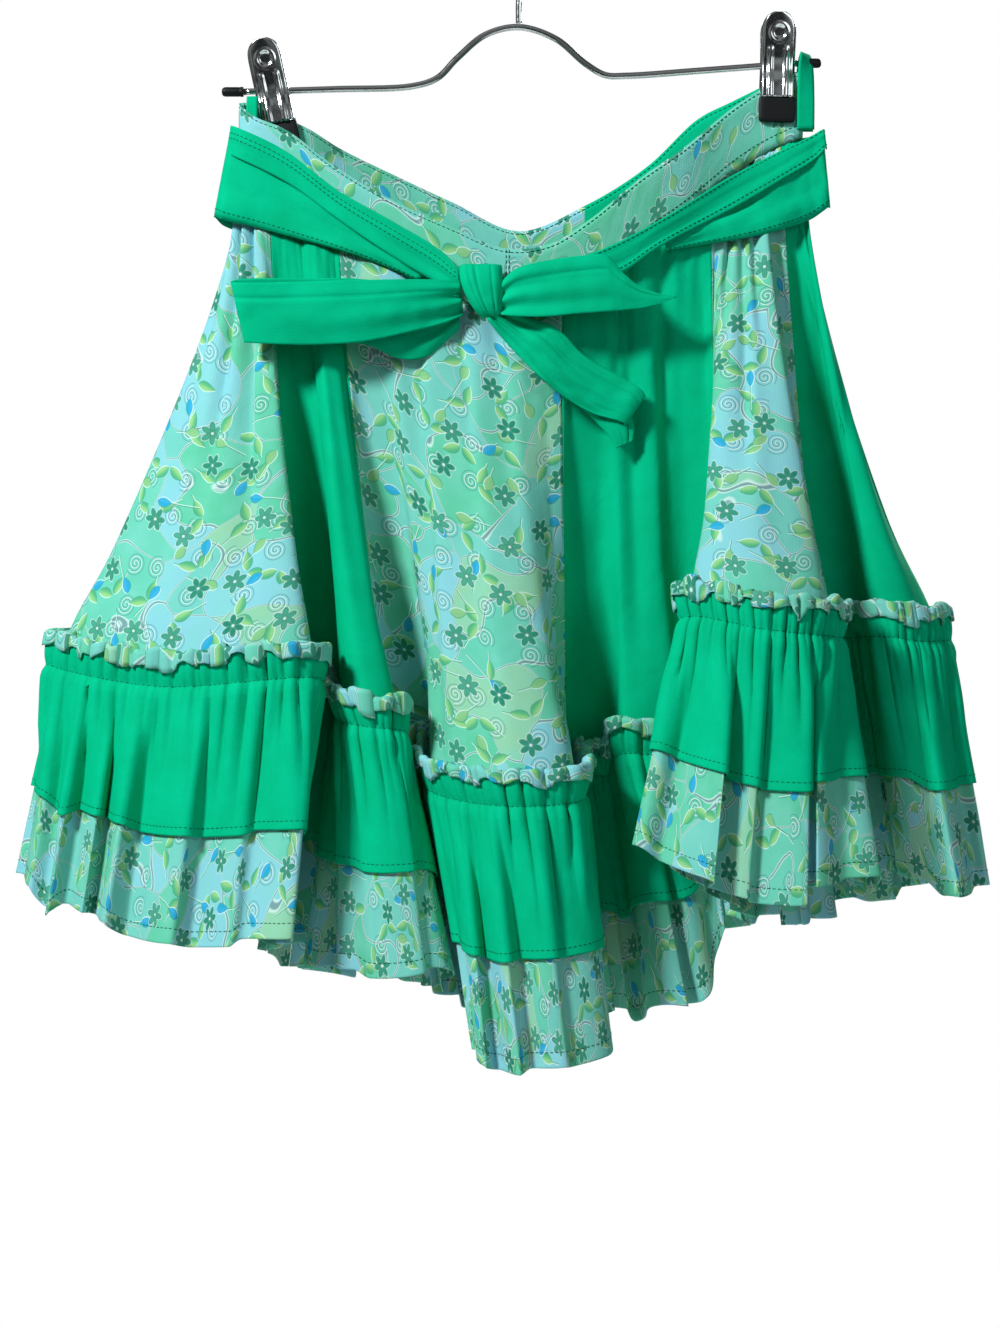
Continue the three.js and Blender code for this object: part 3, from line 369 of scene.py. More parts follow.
# Moulded nitrile rubber: dark, with a fine mould grain that softens its gloss
blackRubber = newMaterial("black rubber, moulded")
tree = blackRubber.node_tree
spot = addNode(tree, "TexCoord").outputs["Object"]
grain = addNode(tree, "TexNoise", {"Scale": 1500.0, "Detail": 2.0}, {0: spot})
rubberTone = addNode(tree, "ValToRGB", {"stops": [(0.3, "#04070A"), (0.75, "#0C1216")]},
                     {0: grain.outputs["Fac"]})
rubberRelief = addNode(tree, "Bump", {"Strength": 0.2, "Distance": 0.0002}, {"Height": grain.outputs["Fac"]})
finishMaterial(blackRubber, {"Roughness": 0.55, "Specular IOR Level": 0.22},
               {"Base Color": rubberTone, "Normal": rubberRelief})

floorPaint = newMaterial("studio floor, matt white paint")
tree = floorPaint.node_tree
mottle = addNode(tree, "TexNoise", {"Scale": 3.0, "Detail": 3.0})
floorTone = addNode(tree, "ValToRGB", {"stops": [(0.3, "#F3F4F4"), (0.7, "#FAFBFB")]},
                    {0: mottle.outputs["Fac"]})
finishMaterial(floorPaint, {"Roughness": 0.8}, {"Base Color": floorTone})
print("materials made")


def addObject(name, points, faces, material, smoothFaces=True):
    mesh = bpy.data.meshes.new(name)
    mesh.from_pydata([tuple(c * mm for c in p) for p in points], [], faces)
    mesh.materials.append(material)
    if smoothFaces:
        mesh.shade_smooth()
    made = bpy.data.objects.new(name, mesh)
    scene.collection.objects.link(made)
    return made


floorSize = {"radius": 1000, "height": -1250, "sides": 64}
rim = [(floorSize["radius"] * math.cos(2 * math.pi * i / floorSize["sides"]),
        floorSize["radius"] * math.sin(2 * math.pi * i / floorSize["sides"]), floorSize["height"])
       for i in range(floorSize["sides"])]
addObject("floor", rim, [list(range(len(rim)))], floorPaint, False)


# shapes that the cloth pieces share
def mix(a, b, share):
    return a + (b - a) * share


def ease(low, high, value):
    share = min(1.0, max(0.0, (value - low) / (high - low)))
    return share * share * (3 - 2 * share)


def tableAt(rows, at, column):
    # rows of (place, value, value ...), straight between them
    index = 1
    while index < len(rows) - 1 and rows[index][0] < at:
        index += 1
    low, high = rows[index - 1], rows[index]
    return low[column] + (high[column] - low[column]) * (at - low[0]) / (high[0] - low[0])


def lump(x, y, size, seed):
    # soft uneven relief, from -1 to 1
    return noise.noise(Vector((x / size, y / size, seed * 7.13)))


class Line:
    # a smooth line through points, with places asked for by share of its length
    def __init__(self, points, closed=False, divisions=400):
        self.points, self.closed, self.divisions = points, closed, divisions
        self.lengths = [0.0]
        last = self.at(0)
        for i in range(1, divisions + 1):
            here = self.at(i / divisions)
            self.lengths.append(self.lengths[-1] + (here - last).length)
            last = here
        self.total = self.lengths[-1]

    def at(self, time):
        points, count = self.points, len(self.points)
        place = (count if self.closed else count - 1) * time
        index = math.floor(place)
        weight = place - index
        if self.closed:
            near = [points[(index + k) % count] for k in (-1, 0, 1, 2)]
        else:
            if index >= count - 1:
                index, weight = count - 2, 1.0
            before = points[index - 1] if index > 0 else points[0] * 2 - points[1]
            after = points[index + 2] if index + 2 < count else points[-1] * 2 - points[-2]
            near = [before, points[index], points[index + 1], after]
        gaps = [max((near[k + 1] - near[k]).length_squared, 1e-12) ** 0.25 for k in range(3)]
        if gaps[1] < 1e-4:
            gaps[1] = 1.0
        gaps = [gap if gap >= 1e-4 else gaps[1] for gap in gaps]
        leave = (near[1] - near[0]) / gaps[0] - (near[2] - near[0]) / (gaps[0] + gaps[1]) \
            + (near[2] - near[1]) / gaps[1]
        arrive = (near[2] - near[1]) / gaps[1] - (near[3] - near[1]) / (gaps[1] + gaps[2]) \
            + (near[3] - near[2]) / gaps[2]
        leave, arrive = leave * gaps[1], arrive * gaps[1]
        w2, w3 = weight * weight, weight * weight * weight
        return near[1] + leave * weight + (near[2] * 3 - near[1] * 3 - leave * 2 - arrive) * w2 \
            + (near[1] * 2 - near[2] * 2 + leave + arrive) * w3

    def timeAt(self, share):
        want = share * self.total
        index = min(max(bisect_left(self.lengths, want), 1), self.divisions)
        low, high = self.lengths[index - 1], self.lengths[index]
        return (index - 1 + (want - low) / (high - low)) / self.divisions

    def shareAt(self, place):
        wrapped = place / len(self.points)
        turn = math.floor(wrapped)
        step = (wrapped - turn) * self.divisions
        low = math.floor(step)
        high = min(low + 1, self.divisions)
        return turn + mix(self.lengths[low], self.lengths[high], step - low) / self.total

    def placeAt(self, share):
        # the point, and the direction out of the ring in plan
        time = self.timeAt(share - math.floor(share))
        ahead, behind = self.at(min(1.0, time + 0.0001)), self.at(max(0.0, time - 0.0001))
        along = ahead - behind
        return self.at(time), Vector((along.y, -along.x, 0)).normalized()


def settle(made, node=None):
    # the skirt and its hanger are one body, so every piece rides on its root
    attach(made, "root")
    if node:
        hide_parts(node)
    return made


def gridLengths(grid):
    # running lengths across the columns, where they lie widest apart, and down each of them
    across = [0.0]
    for i in range(1, len(grid)):
        steps = [(grid[i][k] - grid[i - 1][k]).length for k in (0, len(grid[0]) // 2, -1)]
        across.append(across[-1] + max(steps))
    down = []
    for column in grid:
        run = [0.0]
        for k in range(1, len(column)):
            run.append(run[-1] + (column[k] - column[k - 1]).length)
        down.append(run)
    return across, down


cuts = []
rectangular = 0.93  # share of its rectangle above which a sheet was cut as that rectangle


def addCloth(name, node, grid, material, thick=0.6, shift=(0, 0),
             spread=False, cut=None, pickFace=None, extra=()):
    # a thin shell from a grid of points, with its cloth plane kept as UVs of 100 mm a unit
    across, down = gridLengths(grid)
    columns, rows = len(grid), len(grid[0])
    points = [p for column in grid for p in column]
    faces, corners, kinds = [], [], []
    rowRuns = []
    for k in range(rows):
        run = [0.0]
        for i in range(1, columns):
            run.append(run[-1] + (grid[i][k] - grid[i - 1][k]).length)
        middle = run[columns // 2]
        rowRuns.append([r - middle for r in run])
    for i in range(columns - 1):
        for k in range(rows - 1):
            cells = [(i, k), (i + 1, k), (i + 1, k + 1), (i, k + 1)]
            faces.append([c * rows + r for c, r in cells])
            for c, r in cells:
                u = rowRuns[r][c] if spread else across[c] - across[-1] / 2
                corners.append(((u + shift[0]) / 100, (shift[1] - down[columns // 2][r]) / 100))
            kinds.append(pickFace(i, k) if pickFace else 0)
    made = addObject(name, points, faces, material)
    for other in extra:
        made.data.materials.append(other)
    if pickFace:
        made.data.polygons.foreach_set("material_index", kinds)
    layer = made.data.uv_layers.new(name="cloth")
    layer.data.foreach_set("uv", [c for pair in corners for c in pair])
    shell = made.modifiers.new("cloth", "SOLIDIFY")
    shell.thickness = thick * mm
    shell.offset = 0
    settle(made, node)
    wide = max(rowRuns[k][-1] - rowRuns[k][0] for k in range(rows)) * mm
    long = down[columns // 2][-1] * mm
    surface = sum(f.area for f in made.data.polygons)
    size = cut or (wide, long)
    whole = size[0] * size[1]
    area = surface if surface < rectangular * whole else None
    cuts.append((name, round(size[0] * 1000), round(size[1] * 1000), round(area or whole, 4)))
    return made


stitch = {"pitch": 3.1, "long": 2.3, "wide": 0.55, "high": 0.3}
# along a stitch: its sunk ends, shoulders and middle, as share of its height and of its width
stitchShape = [(None, 0.55), (0.9, 1.0), (1.0, 1.0), (0.9, 1.0), (None, 0.55)]
sunk = 0.05


def addStitches(name, points, normals):
    # a row of stitches: short rounded bars laid end to end along a line on the cloth
    runs = [0.0]
    for i in range(1, len(points)):
        runs.append(runs[-1] + (points[i] - points[i - 1]).length)
    verts, faces = [], []
    pitch, long, high = stitch["pitch"], stitch["long"], stitch["high"]
    place = pitch / 2

    def spotAt(run):
        index = min(max(bisect_left(runs, run), 1), len(runs) - 1)
        share = (run - runs[index - 1]) / max(runs[index] - runs[index - 1], 1e-6)
        up = normals[index - 1].lerp(normals[index], share).normalized()
        return points[index - 1].lerp(points[index], share), up

    while place + long / 2 < runs[-1]:
        start = spotAt(place - long / 2)[0]
        middle, up = spotAt(place)
        end = spotAt(place + long / 2)[0]
        along = (end - start).normalized()
        across = along.cross(up).normalized()
        first = len(verts)
        spots = (start, start.lerp(middle, 0.5), middle, middle.lerp(end, 0.5), end)
        for spot, (tall, half) in zip(spots, stitchShape):
            lift = high * tall if tall else -sunk
            for sideways, rise in ((-1, -0.12), (-0.5, lift), (0.5, lift), (1, -0.12)):
                verts.append(spot + across * (sideways * half * stitch["wide"] / 2) + up * rise)
        for j in range(4):
            for q in range(3):
                a = first + j * 4 + q
                faces.append([a, a + 4, a + 5, a + 1])
            faces.append([first + j * 4 + 3, first + j * 4 + 7, first + j * 4 + 4, first + j * 4])
        faces.append([first, first + 1, first + 2, first + 3])
        faces.append([first + 19, first + 18, first + 17, first + 16])
        place += pitch
    return settle(addObject(name, verts, faces, threadAndPaintedShade))


def gridNormal(grid, i, k):
    along = grid[min(i + 1, len(grid) - 1)][k] - grid[max(i - 1, 0)][k]
    down = grid[i][min(k + 1, len(grid[0]) - 1)] - grid[i][max(k - 1, 0)]
    return along.cross(down).normalized()

# the skirt in plan: rings at its waist, gathering line and hem, in millimetres
clothWall, ruffleWall, seamGap, bandHeight = 1.2, 1.4, 0.3, 40
columnsPerGore = 16
goreHeights = [0, 0.12, 0.4, 1]
headerHeight, headerLean, greenFall, flarePower = 22.6, 0.28, 0.587, 1.25
headerFall = 0.15  # how far up the frill reaches, as the ruffle's places count it
foldPoints = 5
printInner = 1.3
greenInner = printInner + ruffleWall + 0.8
ruffleMiddle = (printInner + greenInner + ruffleWall) / 2

# x, y, z of the waist's top edge, from its left end along the front and back again
waistRows = [
    (-167, -7, -131), (-158, -13.5, -140), (-138, -16, -149), (-108, -20, -172), (-73, -24, -193),
    (-40, -26, -208), (-8, -27, -221), (18, -26, -218), (42, -24, -203), (72, -20, -178),
    (98, -14, -159), (128, -4, -133), (146, -1.4, -121), (163, -1.4, -113), (168.6, -1.7, -111),
    (170.2, 0, -110.5), (168.6, 1.7, -110.5), (163, 1.4, -111), (146, 1.4, -119.5), (128, 4, -128),
    (108, 12, -137), (78, 20, -164), (42, 25, -186), (0, 27, -202), (-40, 25, -185),
    (-74, 20, -170), (-108, 10, -155), (-128, 0.6, -144), (-143, 0, -138), (-156, 0, -132),
    (-163, -2.4, -130),
]
waistRightEnd = 15
# name, cloth, place along the waist and seam of each gore
gores = [
    ("a", "print", -15, 0.5), ("b", "green", 25, -0.3), ("c", "print", 76, -0.3), ("d", "green", 221, -0.3),
    ("e", "print", 336, 1.3), ("f", "green", 389, -0.3), ("g", "print", 430, 0.5), ("h", "green", 492, 0.5),
    ("i", "print", 556, 0.5), ("j", "green", 622, 0.5), ("k", "print", 682, 0.5), ("l", "green", 737, 0.5),
]
# root x, root y, width, start x, start y, middle x, middle y, end x, end y of each fold, and z at its
# start, middle and end
gatherFolds = [
    (-244, 10, 25, -276, -14, -205, -64, -119, -76, -466, -479, -474),
    (-117, -22, 25, -101, -53, -86, -68, -70, -61, -498, -502, -505),
    (-62, -20, 25, -50, -54, -6, -96, 30, -88, -538, -546, -544),
    (42, -18, 25, 62, -28, 75, -30, 88, -27, -519, -519, -517),
    (113, -23, 22, 97, -84, 138, -108, 177, -87, -440, -447, -451),
    (188, -30, 25, 211, -48, 233, -44, 251, -20, -450, -453, -452),
    (236, 8, 25, 251, 32, 224, 66, 176, 78, -453, -460, -466),
    (160, 22, 25, 148, 68, 116, 84, 82, 74, -472, -485, -496),
    (66, 20, 25, 52, 64, 20, 84, -14, 74, -520, -529, -536),
    (-30, 20, 25, -44, 68, -74, 84, -104, 72, -528, -519, -508),
    (-120, 22, 25, -134, 64, -166, 76, -198, 60, -494, -488, -480),
    (-206, 20, 25, -226, 50, -250, 50, -266, 30, -474, -471, -467),
]
hemFolds = [
    (-264, 6, 25, -296, -20, -216, -88, -127, -104, -594, -619, -616),
    (-141, -50, 25, -118, -76, -82, -92, -44, -84, -637, -641, -638),
    (-35, -44, 25, -23, -98, 14, -121, 48, -108, -687, -688, -681),
    (57, -42, 25, 77, -48, 94, -50, 108, -46, -658, -658, -656),
    (128, -40, 23, 70, -112, 126, -130, 196, -110, -569, -591, -589),
    (204, -52, 25, 227, -70, 252, -64, 273, -36, -591, -594, -590),
    (257, 2, 24, 276, 36, 250, 86, 198, 102, -595, -608, -618),
    (180, 42, 24, 168, 92, 132, 110, 92, 98, -630, -638, -640),
    (74, 42, 24, 58, 90, 20, 110, -18, 100, -654, -664, -668),
    (-34, 42, 24, -50, 94, -86, 110, -122, 98, -671, -666, -654),
    (-140, 42, 24, -158, 86, -198, 100, -232, 84, -640, -632, -618),
    (-236, 36, 25, -260, 72, -284, 66, -296, 38, -608, -604, -596),
]

waistRing = Line([Vector(row) for row in waistRows], True, 1600)


def foldRing(folds):
    points = []
    for i, fold in enumerate(folds):
        rootX, rootY, wide, fromX, fromY, midX, midY, toX, toY, zFrom, zMid, zTo = fold
        before = folds[i - 1]
        mouthX, mouthY = (fromX + before[7]) / 2, (fromY + before[8]) / 2
        across = Vector((rootY - mouthY, mouthX - rootX, 0)).normalized() * (wide / 2)
        if across.x * (fromX - before[7]) + across.y * (fromY - before[8]) < 0:
            across = -across
        root = Vector((rootX, rootY, (before[11] + zFrom) / 2))
        points += [root - across, root + across, Vector((fromX, fromY, zFrom)),
                   Vector((midX, midY, zMid)), Vector((toX, toY, zTo))]
    return Line(points, True, 1600)


gatherRing, hemRing = foldRing(gatherFolds), foldRing(hemFolds)


def roomsOf(ring, layers, most):
    # room for waves round a ring, from the clear distance ahead of the ruffle and behind it
    steps = 384
    places = [ring.placeAt(i / steps) for i in range(steps)]
    raw = []
    for i, (point, normal) in enumerate(places):
        ahead = behind = 1e9
        for j, (other, unused) in enumerate(places):
            apart = abs(j - i)
            if min(apart, steps - apart) <= 3:
                continue
            dx, dy = other.x - point.x, other.y - point.y
            far = math.hypot(dx, dy)
            facing = dx * normal.x + dy * normal.y
            if facing > 0.3 * far:
                ahead = min(ahead, far)
            elif -facing > 0.3 * far:
                behind = min(behind, far)
        raw.append(min(1.0, max(0.08, min(ahead / 2 - layers, behind / 2 - clothWall) / most)))
    return [sum(raw[(i + k) % steps] for k in range(-3, 4)) / 7 for i in range(steps)]


def roomAt(rooms, share):
    place = (share - math.floor(share)) * len(rooms)
    low = math.floor(place)
    return mix(rooms[low % len(rooms)], rooms[(low + 1) % len(rooms)], place - low)


headerRooms = roomsOf(gatherRing, 6.8, 5.5)
hemRooms = roomsOf(hemRing, 4.9, 7.5)
print("rings measured:", round(waistRing.total), round(gatherRing.total), round(hemRing.total), "mm")


def columnAt(index, step):
    # one vertical line of the skirt, step 0 to 16 across its gore
    gore, following = gores[index], gores[(index + 1) % len(gores)]
    inset = seamGap / 2

    def within(ring, start, end):
        return mix(start + inset / ring.total, end - inset / ring.total, step / columnsPerGore)

    waistEnd = following[2] / waistRing.total + (1 if index == len(gores) - 1 else 0)
    waistShare = within(waistRing, gore[2] / waistRing.total, waistEnd)
    seams = index * foldPoints + gore[3], (index + 1) * foldPoints + following[3]
    gatherShare = within(gatherRing, gatherRing.shareAt(seams[0]), gatherRing.shareAt(seams[1]))
    hemShare = within(hemRing, hemRing.shareAt(seams[0]), hemRing.shareAt(seams[1]))
    column = {"number": index * columnsPerGore + step, "waistShare": (waistShare + 1) % 1}
    column["waist"], column["waistOut"] = waistRing.placeAt(waistShare)
    column["gather"], column["gatherOut"] = gatherRing.placeAt(gatherShare)
    column["hem"], column["hemOut"] = hemRing.placeAt(hemShare)
    column["run"] = hemShare * hemRing.total
    column["headerRoom"], column["hemRoom"] = roomAt(headerRooms, gatherShare), roomAt(hemRooms, hemShare)
    return column


def goreKnot(column, down, out):
    top = column["waist"] - Vector((0, 0, bandHeight + seamGap))
    grow = down ** flarePower
    point = top.lerp(column["gather"], grow)
    point.z = mix(top.z, column["gather"].z, down)
    normal = column["waistOut"].lerp(column["gatherOut"], grow).normalized()
    pleat = 2.4 * min(1, down * 6) * max(0, 1 - down * 1.4) * lump(column["number"], down * 3, 2.6, 71)
    return point + normal * (out + pleat), normal


def gorePoint(column, down, out):
    index = 1
    while index < 3 and goreHeights[index] < down:
        index += 1
    high, low = goreHeights[index - 1], goreHeights[index]
    first, second = goreKnot(column, high, out)[0], goreKnot(column, low, out)[0]
    return first.lerp(second, (down - high) / (low - high))


# Relief along the ruffle, measured in millimetres of its hem: broad flutes with one steep side,
# gathers half as wide that die out below the stitching, and the smallest ones beside it.
flute = {"wide": 28.0, "uneven": 0.8, "lean": 0.75, "steep": 0.7, "hemStep": 13.0, "draw": 1.3,
         "drawn": 0.03, "gather": 11.0, "small": 5.2, "longest": 0.55}
# fall, height of the flutes, of the gathers and of the smallest gathers
fluteRows = [(-0.15, 1.5, 5.0, 1.1), (-0.08, 1.1, 4.6, 1.4), (-0.03, 0.6, 3.4, 1.6), (0, 0.3, 2.2, 1.6),
             (0.03, 1.0, 4.2, 1.8), (0.09, 3.0, 5.2, 1.2), (0.2, 6.4, 4.8, 0.5), (0.35, 9.4, 3.6, 0.1),
             (0.55, 11.4, 2.2, 0), (1, 12.6, 0.8, 0)]


def chanceOf(number, seed):
    # a fixed random number from 0 to 1 for a whole number
    return (math.sin(number * 12.9898 + seed * 78.233) * 43758.5453) % 1


def fluteAt(column, fall):
    # how far the cloth stands off, how far it leans along the ruffle and how far it drops
    run = column["run"]
    space = mix(column["headerRoom"], column["hemRoom"], ease(0, 0.5, fall))
    place = run / flute["wide"] + flute["uneven"] * lump(run, 0.5, 62, 41)
    which = math.floor(place)
    share = place - which
    sense = -1 if chanceOf(which, 9) > 0.76 else 1
    climb = share if sense > 0 else 1 - share
    late = 0.24 * chanceOf(which, 2)
    crest = ease(0, flute["steep"], climb) * (1 - ease(flute["steep"], 1, climb)) \
        * (0.3 + 0.9 * chanceOf(which, 3)) * ease(late - 0.2, late + 0.12, fall)
    tall = tableAt(fluteRows, fall, 1)
    wave = tall * (crest - mix(0.1, 0.42, ease(0, 0.12, fall)))
    gatherPlace = run / flute["gather"] + 0.45 * lump(run, 3.5, 16, 43)
    gather = math.floor(gatherPlace)
    length = flute["longest"] * chanceOf(gather, 8)
    puff = (abs(math.sin(math.pi * gatherPlace)) ** 0.8 - 0.45) * (0.3 + 1.0 * chanceOf(gather, 4)) \
        * (1 - ease(0.05 + 0.6 * length, 0.12 + length, fall))
    small = abs(math.sin(math.pi * (run / flute["small"] + 0.4 * lump(run, 6.5, 9, 45)))) - 0.45
    fine = tableAt(fluteRows, fall, 2) * puff + tableAt(fluteRows, fall, 3) * small
    rumple = 1.3 * max(0, fall) * lump(run * 0.7, fall * 60, 22, 3)
    draw = -flute["draw"] * math.exp(-(fall / flute["drawn"]) ** 2) + 0.3
    lean = sense * flute["lean"] * (0.35 + 0.8 * chanceOf(which, 6)) * tall * crest \
        + 5 * puff * min(0, fall * 9) * (chanceOf(gather, 11) - 0.5)
    steps = [chanceOf(which + k, 5) - 0.45 for k in (0, 1)]
    drop = flute["hemStep"] * ease(0.05, 1, fall) * mix(steps[0], steps[1], ease(0.66, 1, share))
    off = (wave + rumple + draw) * space + fine * max(space, 0.55)
    return off, lean * space * min(1, space * 1.3), drop * space


def ruffleBase(column, at):
    # the ruffle's middle surface; at is the fall below the gathering line, negative up the frill
    off, aside, drop = fluteAt(column, at)
    if at >= 0:
        normal = column["gatherOut"].lerp(column["hemOut"], at).normalized()
        point = column["gather"].lerp(column["hem"], at) + normal * (ruffleMiddle + off)
        return point + Vector((-normal.y, normal.x, 0)) * aside - Vector((0, 0, drop))
    up = -at * headerHeight / headerFall
    high = column["waist"].z - bandHeight - column["gather"].z
    lean = headerLean * up * column["headerRoom"]
    along = Vector((-column["gatherOut"].y, column["gatherOut"].x, 0))
    return gorePoint(column, 1 - up / high, ruffleMiddle + lean + off) + along * aside

# gores: folds and gathers laid on the gore between two seams
goreLook = {"columns": 4, "rows": 44, "gatherDeep": 0.6, "foldDeep": 4.5}
# place across the gore, half width to its left and right, depth, and the heights where it starts and ends
goreFolds = {
    "a": [(0.3, 0.07, 0.025, -5.4, -0.2, 0.55), (0.52, 0.05, 0.025, -4.4, -0.2, 0.75),
          (0.7, 0.06, 0.025, -5.0, -0.2, 0.9)],
    "b": [(0.42, 0.1, 0.04, -3.5, -0.2, 1.2), (0.62, 0.08, 0.05, 2.5, 0.0, 1.0)],
    "c": [(0.36, 0.08, 0.03, -3.8, -0.2, 1.1), (0.56, 0.1, 0.03, -3.2, -0.2, 1.2),
          (0.72, 0.05, 0.04, -2.6, -0.2, 0.6)],
    "d": [(0.36, 0.05, 0.03, -4.4, -0.3, 0.35), (0.44, 0.06, 0.04, -3.6, -0.3, 0.9),
          (0.54, 0.07, 0.06, 3.4, 0.05, 1.1), (0.24, 0.05, 0.04, -3.4, 0.3, 1.2), (0.66, 0.05, 0.04, -3.0, -0.3, 0.5)],
    "e": [(0.36, 0.06, 0.025, -5.4, -0.3, 0.5), (0.5, 0.05, 0.025, -4.6, -0.2, 0.75),
          (0.62, 0.04, 0.03, -3.6, -0.3, 0.45), (0.74, 0.1, 0.025, 4.2, -0.1, 1.2)],
    "f": [(0.3, 0.06, 0.04, -3.2, -0.2, 0.8), (0.55, 0.1, 0.07, 3.0, 0.0, 1.1),
          (0.75, 0.06, 0.04, -2.4, 0.1, 1.1)],
    "g": [(0.3, 0.07, 0.04, -3.4, -0.2, 0.7), (0.6, 0.08, 0.04, 3.0, 0.0, 1.1)],
    "h": [(0.4, 0.07, 0.03, -3.6, -0.2, 0.8), (0.65, 0.06, 0.05, 2.8, 0.0, 1.1)],
    "i": [(0.34, 0.06, 0.04, -3.2, -0.2, 0.9), (0.58, 0.07, 0.03, -3.4, -0.2, 0.5)],
    "j": [(0.3, 0.06, 0.04, 2.6, 0.0, 1.1), (0.55, 0.05, 0.03, -3.6, -0.2, 0.7)],
    "k": [(0.45, 0.08, 0.04, -3.4, -0.2, 1.0), (0.68, 0.05, 0.04, -3.0, -0.2, 0.5)],
    "l": [(0.35, 0.06, 0.03, -3.2, -0.2, 0.6), (0.6, 0.08, 0.05, 2.8, 0.0, 1.1)],
}


def foldAt(name, share, down):
    deep = 0.0
    for place, left, right, depth, start, end in goreFolds[name]:
        wander = place + 0.03 * lump(down * 3, place * 9, 0.8, 51)
        width = left if share < wander else right
        fade = ease(start, start + 0.25, down) * (1 - ease(end - 0.3, end, down))
        deep += depth * fade * math.exp(-((share - wander) / width) ** 2)
    return deep


def goreGrid(index):
    grid = []
    steps = columnsPerGore * goreLook["columns"]
    for s in range(steps + 1):
        column = columnAt(index, s / goreLook["columns"])
        number = column["number"]
        edge = min(1, s / 5, (steps - s) / 5)
        line = []
        for r in range(goreLook["rows"] + 1):
            down = (r / goreLook["rows"]) ** 1.08
            smoothPoint, normal = goreKnot(column, down, 0)
            point = smoothPoint.lerp(gorePoint(column, down, 0), ease(0.8, 0.93, down))
            gathers = goreLook["gatherDeep"] * math.exp(-down * 9) * 2 * lump(number * 4, down * 50, 5, 61)
            hang = -goreLook["foldDeep"] * ease(0.05, 0.3, down) * (1 - ease(0.75, 0.92, down)) \
                * (0.5 + 0.5 * lump(number * 14, down * 60, 30, index + 1))
            pull = -1.6 * math.exp(-down * 5) * abs(lump(number * 16, down * 160, 24, index + 20))
            folds = foldAt(gores[index][0], s / steps, down) * (1 - 0.75 * ease(0.88, 1, down))
            line.append(point + normal * ((gathers + hang + pull + folds) * edge))
        grid.append(line)
    return grid


cloths = {"print": (printCotton, "print_cotton"), "green": (greenCotton, "green_cotton")}
for index, gore in enumerate(gores):
    cloth, slotName = cloths[gore[1]]
    addCloth("skirt_gore_" + gore[0], "gore_" + gore[0], goreGrid(index), cloth,
             spread=True, shift=(index * 137, index * 61))
print("gores hung")

# waistband, with a green strip showing inside the back
bandLook = {"step": 4.0, "rows": 8, "thick": 1.0, "joinX": -6.5, "greenFrom": 42.6, "greenTo": 146}


def bandGrid(fromShare, toShare):
    count = round((toShare - fromShare) * waistRing.total / bandLook["step"])
    inset = seamGap / 2 / waistRing.total
    grid = []
    for i in range(count + 1):
        share = mix(fromShare + inset, toShare - inset, i / count)
        point, normal = waistRing.placeAt(share)
        line = []
        for r in range(bandLook["rows"] + 1):
            drop = bandHeight * r / bandLook["rows"]
            pucker = 0.35 * math.exp(-(bandHeight - drop) / 6) * math.sin(share * waistRing.total / 1.9)
            line.append(point + normal * pucker - Vector((0, 0, drop)))
        grid.append(line)
    return grid


rightEnd = waistRing.shareAt(waistRightEnd)
frontBand = bandGrid(0, rightEnd)
backBand = bandGrid(rightEnd, 1)
addCloth("waistband_cloth_front", "waistband_front", frontBand, printCotton, bandLook["thick"],
         shift=(40, 900))
addCloth("waistband_cloth_back", "waistband_back", backBand, printCotton, bandLook["thick"],
         shift=(700, 900), extra=[greenCotton],
         pickFace=lambda i, k: 1 if bandLook["greenFrom"] < backBand[i][0].x < bandLook["greenTo"] else 0)
for name, grid, row, side in (("front", frontBand, 1, 1), ("front_low", frontBand, 7, 1), ("back", backBand, 1, -1)):
    facing = [grid[min(i + 1, len(grid) - 1)][row] - grid[max(i - 1, 0)][row] for i in range(len(grid))]
    outward = [Vector((along.y, -along.x, 0)).normalized() * side for along in facing]
    lifted = [grid[i][row] * 0.4 + grid[i][row - 1] * 0.6 + outward[i] * (bandLook["thick"] / 2 + 0.05) for i in range(len(grid))]
    addStitches("stitches_band_" + name, lifted, outward)
joinAt = min(range(len(frontBand)), key=lambda i: abs(frontBand[i][0].x - bandLook["joinX"]))
for name, aside in (("join_left", -0.9), ("join_right", 0.9)):
    points = [p + Vector((aside, -bandLook["thick"] / 2 - 0.05, 0)) for p in frontBand[joinAt]]
    addStitches("stitches_band_" + name, points, [Vector((0, -1, 0))] * len(points))
print("waistband made")

# ruffles: one uneven surface, with the print layer behind it and the green one in front
ruffleLook = {"columns": 12, "printStitch": 9.0, "greenStitch": 5.0, "thick": 0.5, "lipUneven": 7.0, "topUneven": 4.0,
              "layer": 1.1, "flap": 3.0, "turnDown": 10.0}
baseRows = [-0.156, -0.14, -0.12, -0.1, -0.08, -0.06, -0.042, -0.028, -0.016, -0.007, 0, 0.007, 0.016, 0.028, 0.045,
            0.07, 0.1, 0.14, 0.18] + [0.18 + 0.82 * i / 17 for i in range(1, 18)]


def upTo(up):
    return -headerFall * up / headerHeight


def fallsTo(lowest, long, stitch):
    # places from a ruffle's hem up to the gathering line, close together at the stitched hem
    rows = [lowest - lowest * s / long for s in (0, 1.2, stitch - 1.2, stitch, stitch + 1.2)]
    if lowest == 1:
        # the top of the long layer is hidden behind the short one
        return rows + [0.85, 0.77, 0.69, 0.62, 0.56, 0.5, 0.35, 0.2, 0.1, 0.04, 0.015, 0]
    count = round(rows[-1] * 17 / 0.9)
    return rows + [rows[-1] * (1 - i / count) for i in range(1, count)] + [0.05, 0.028, 0.012, 0]


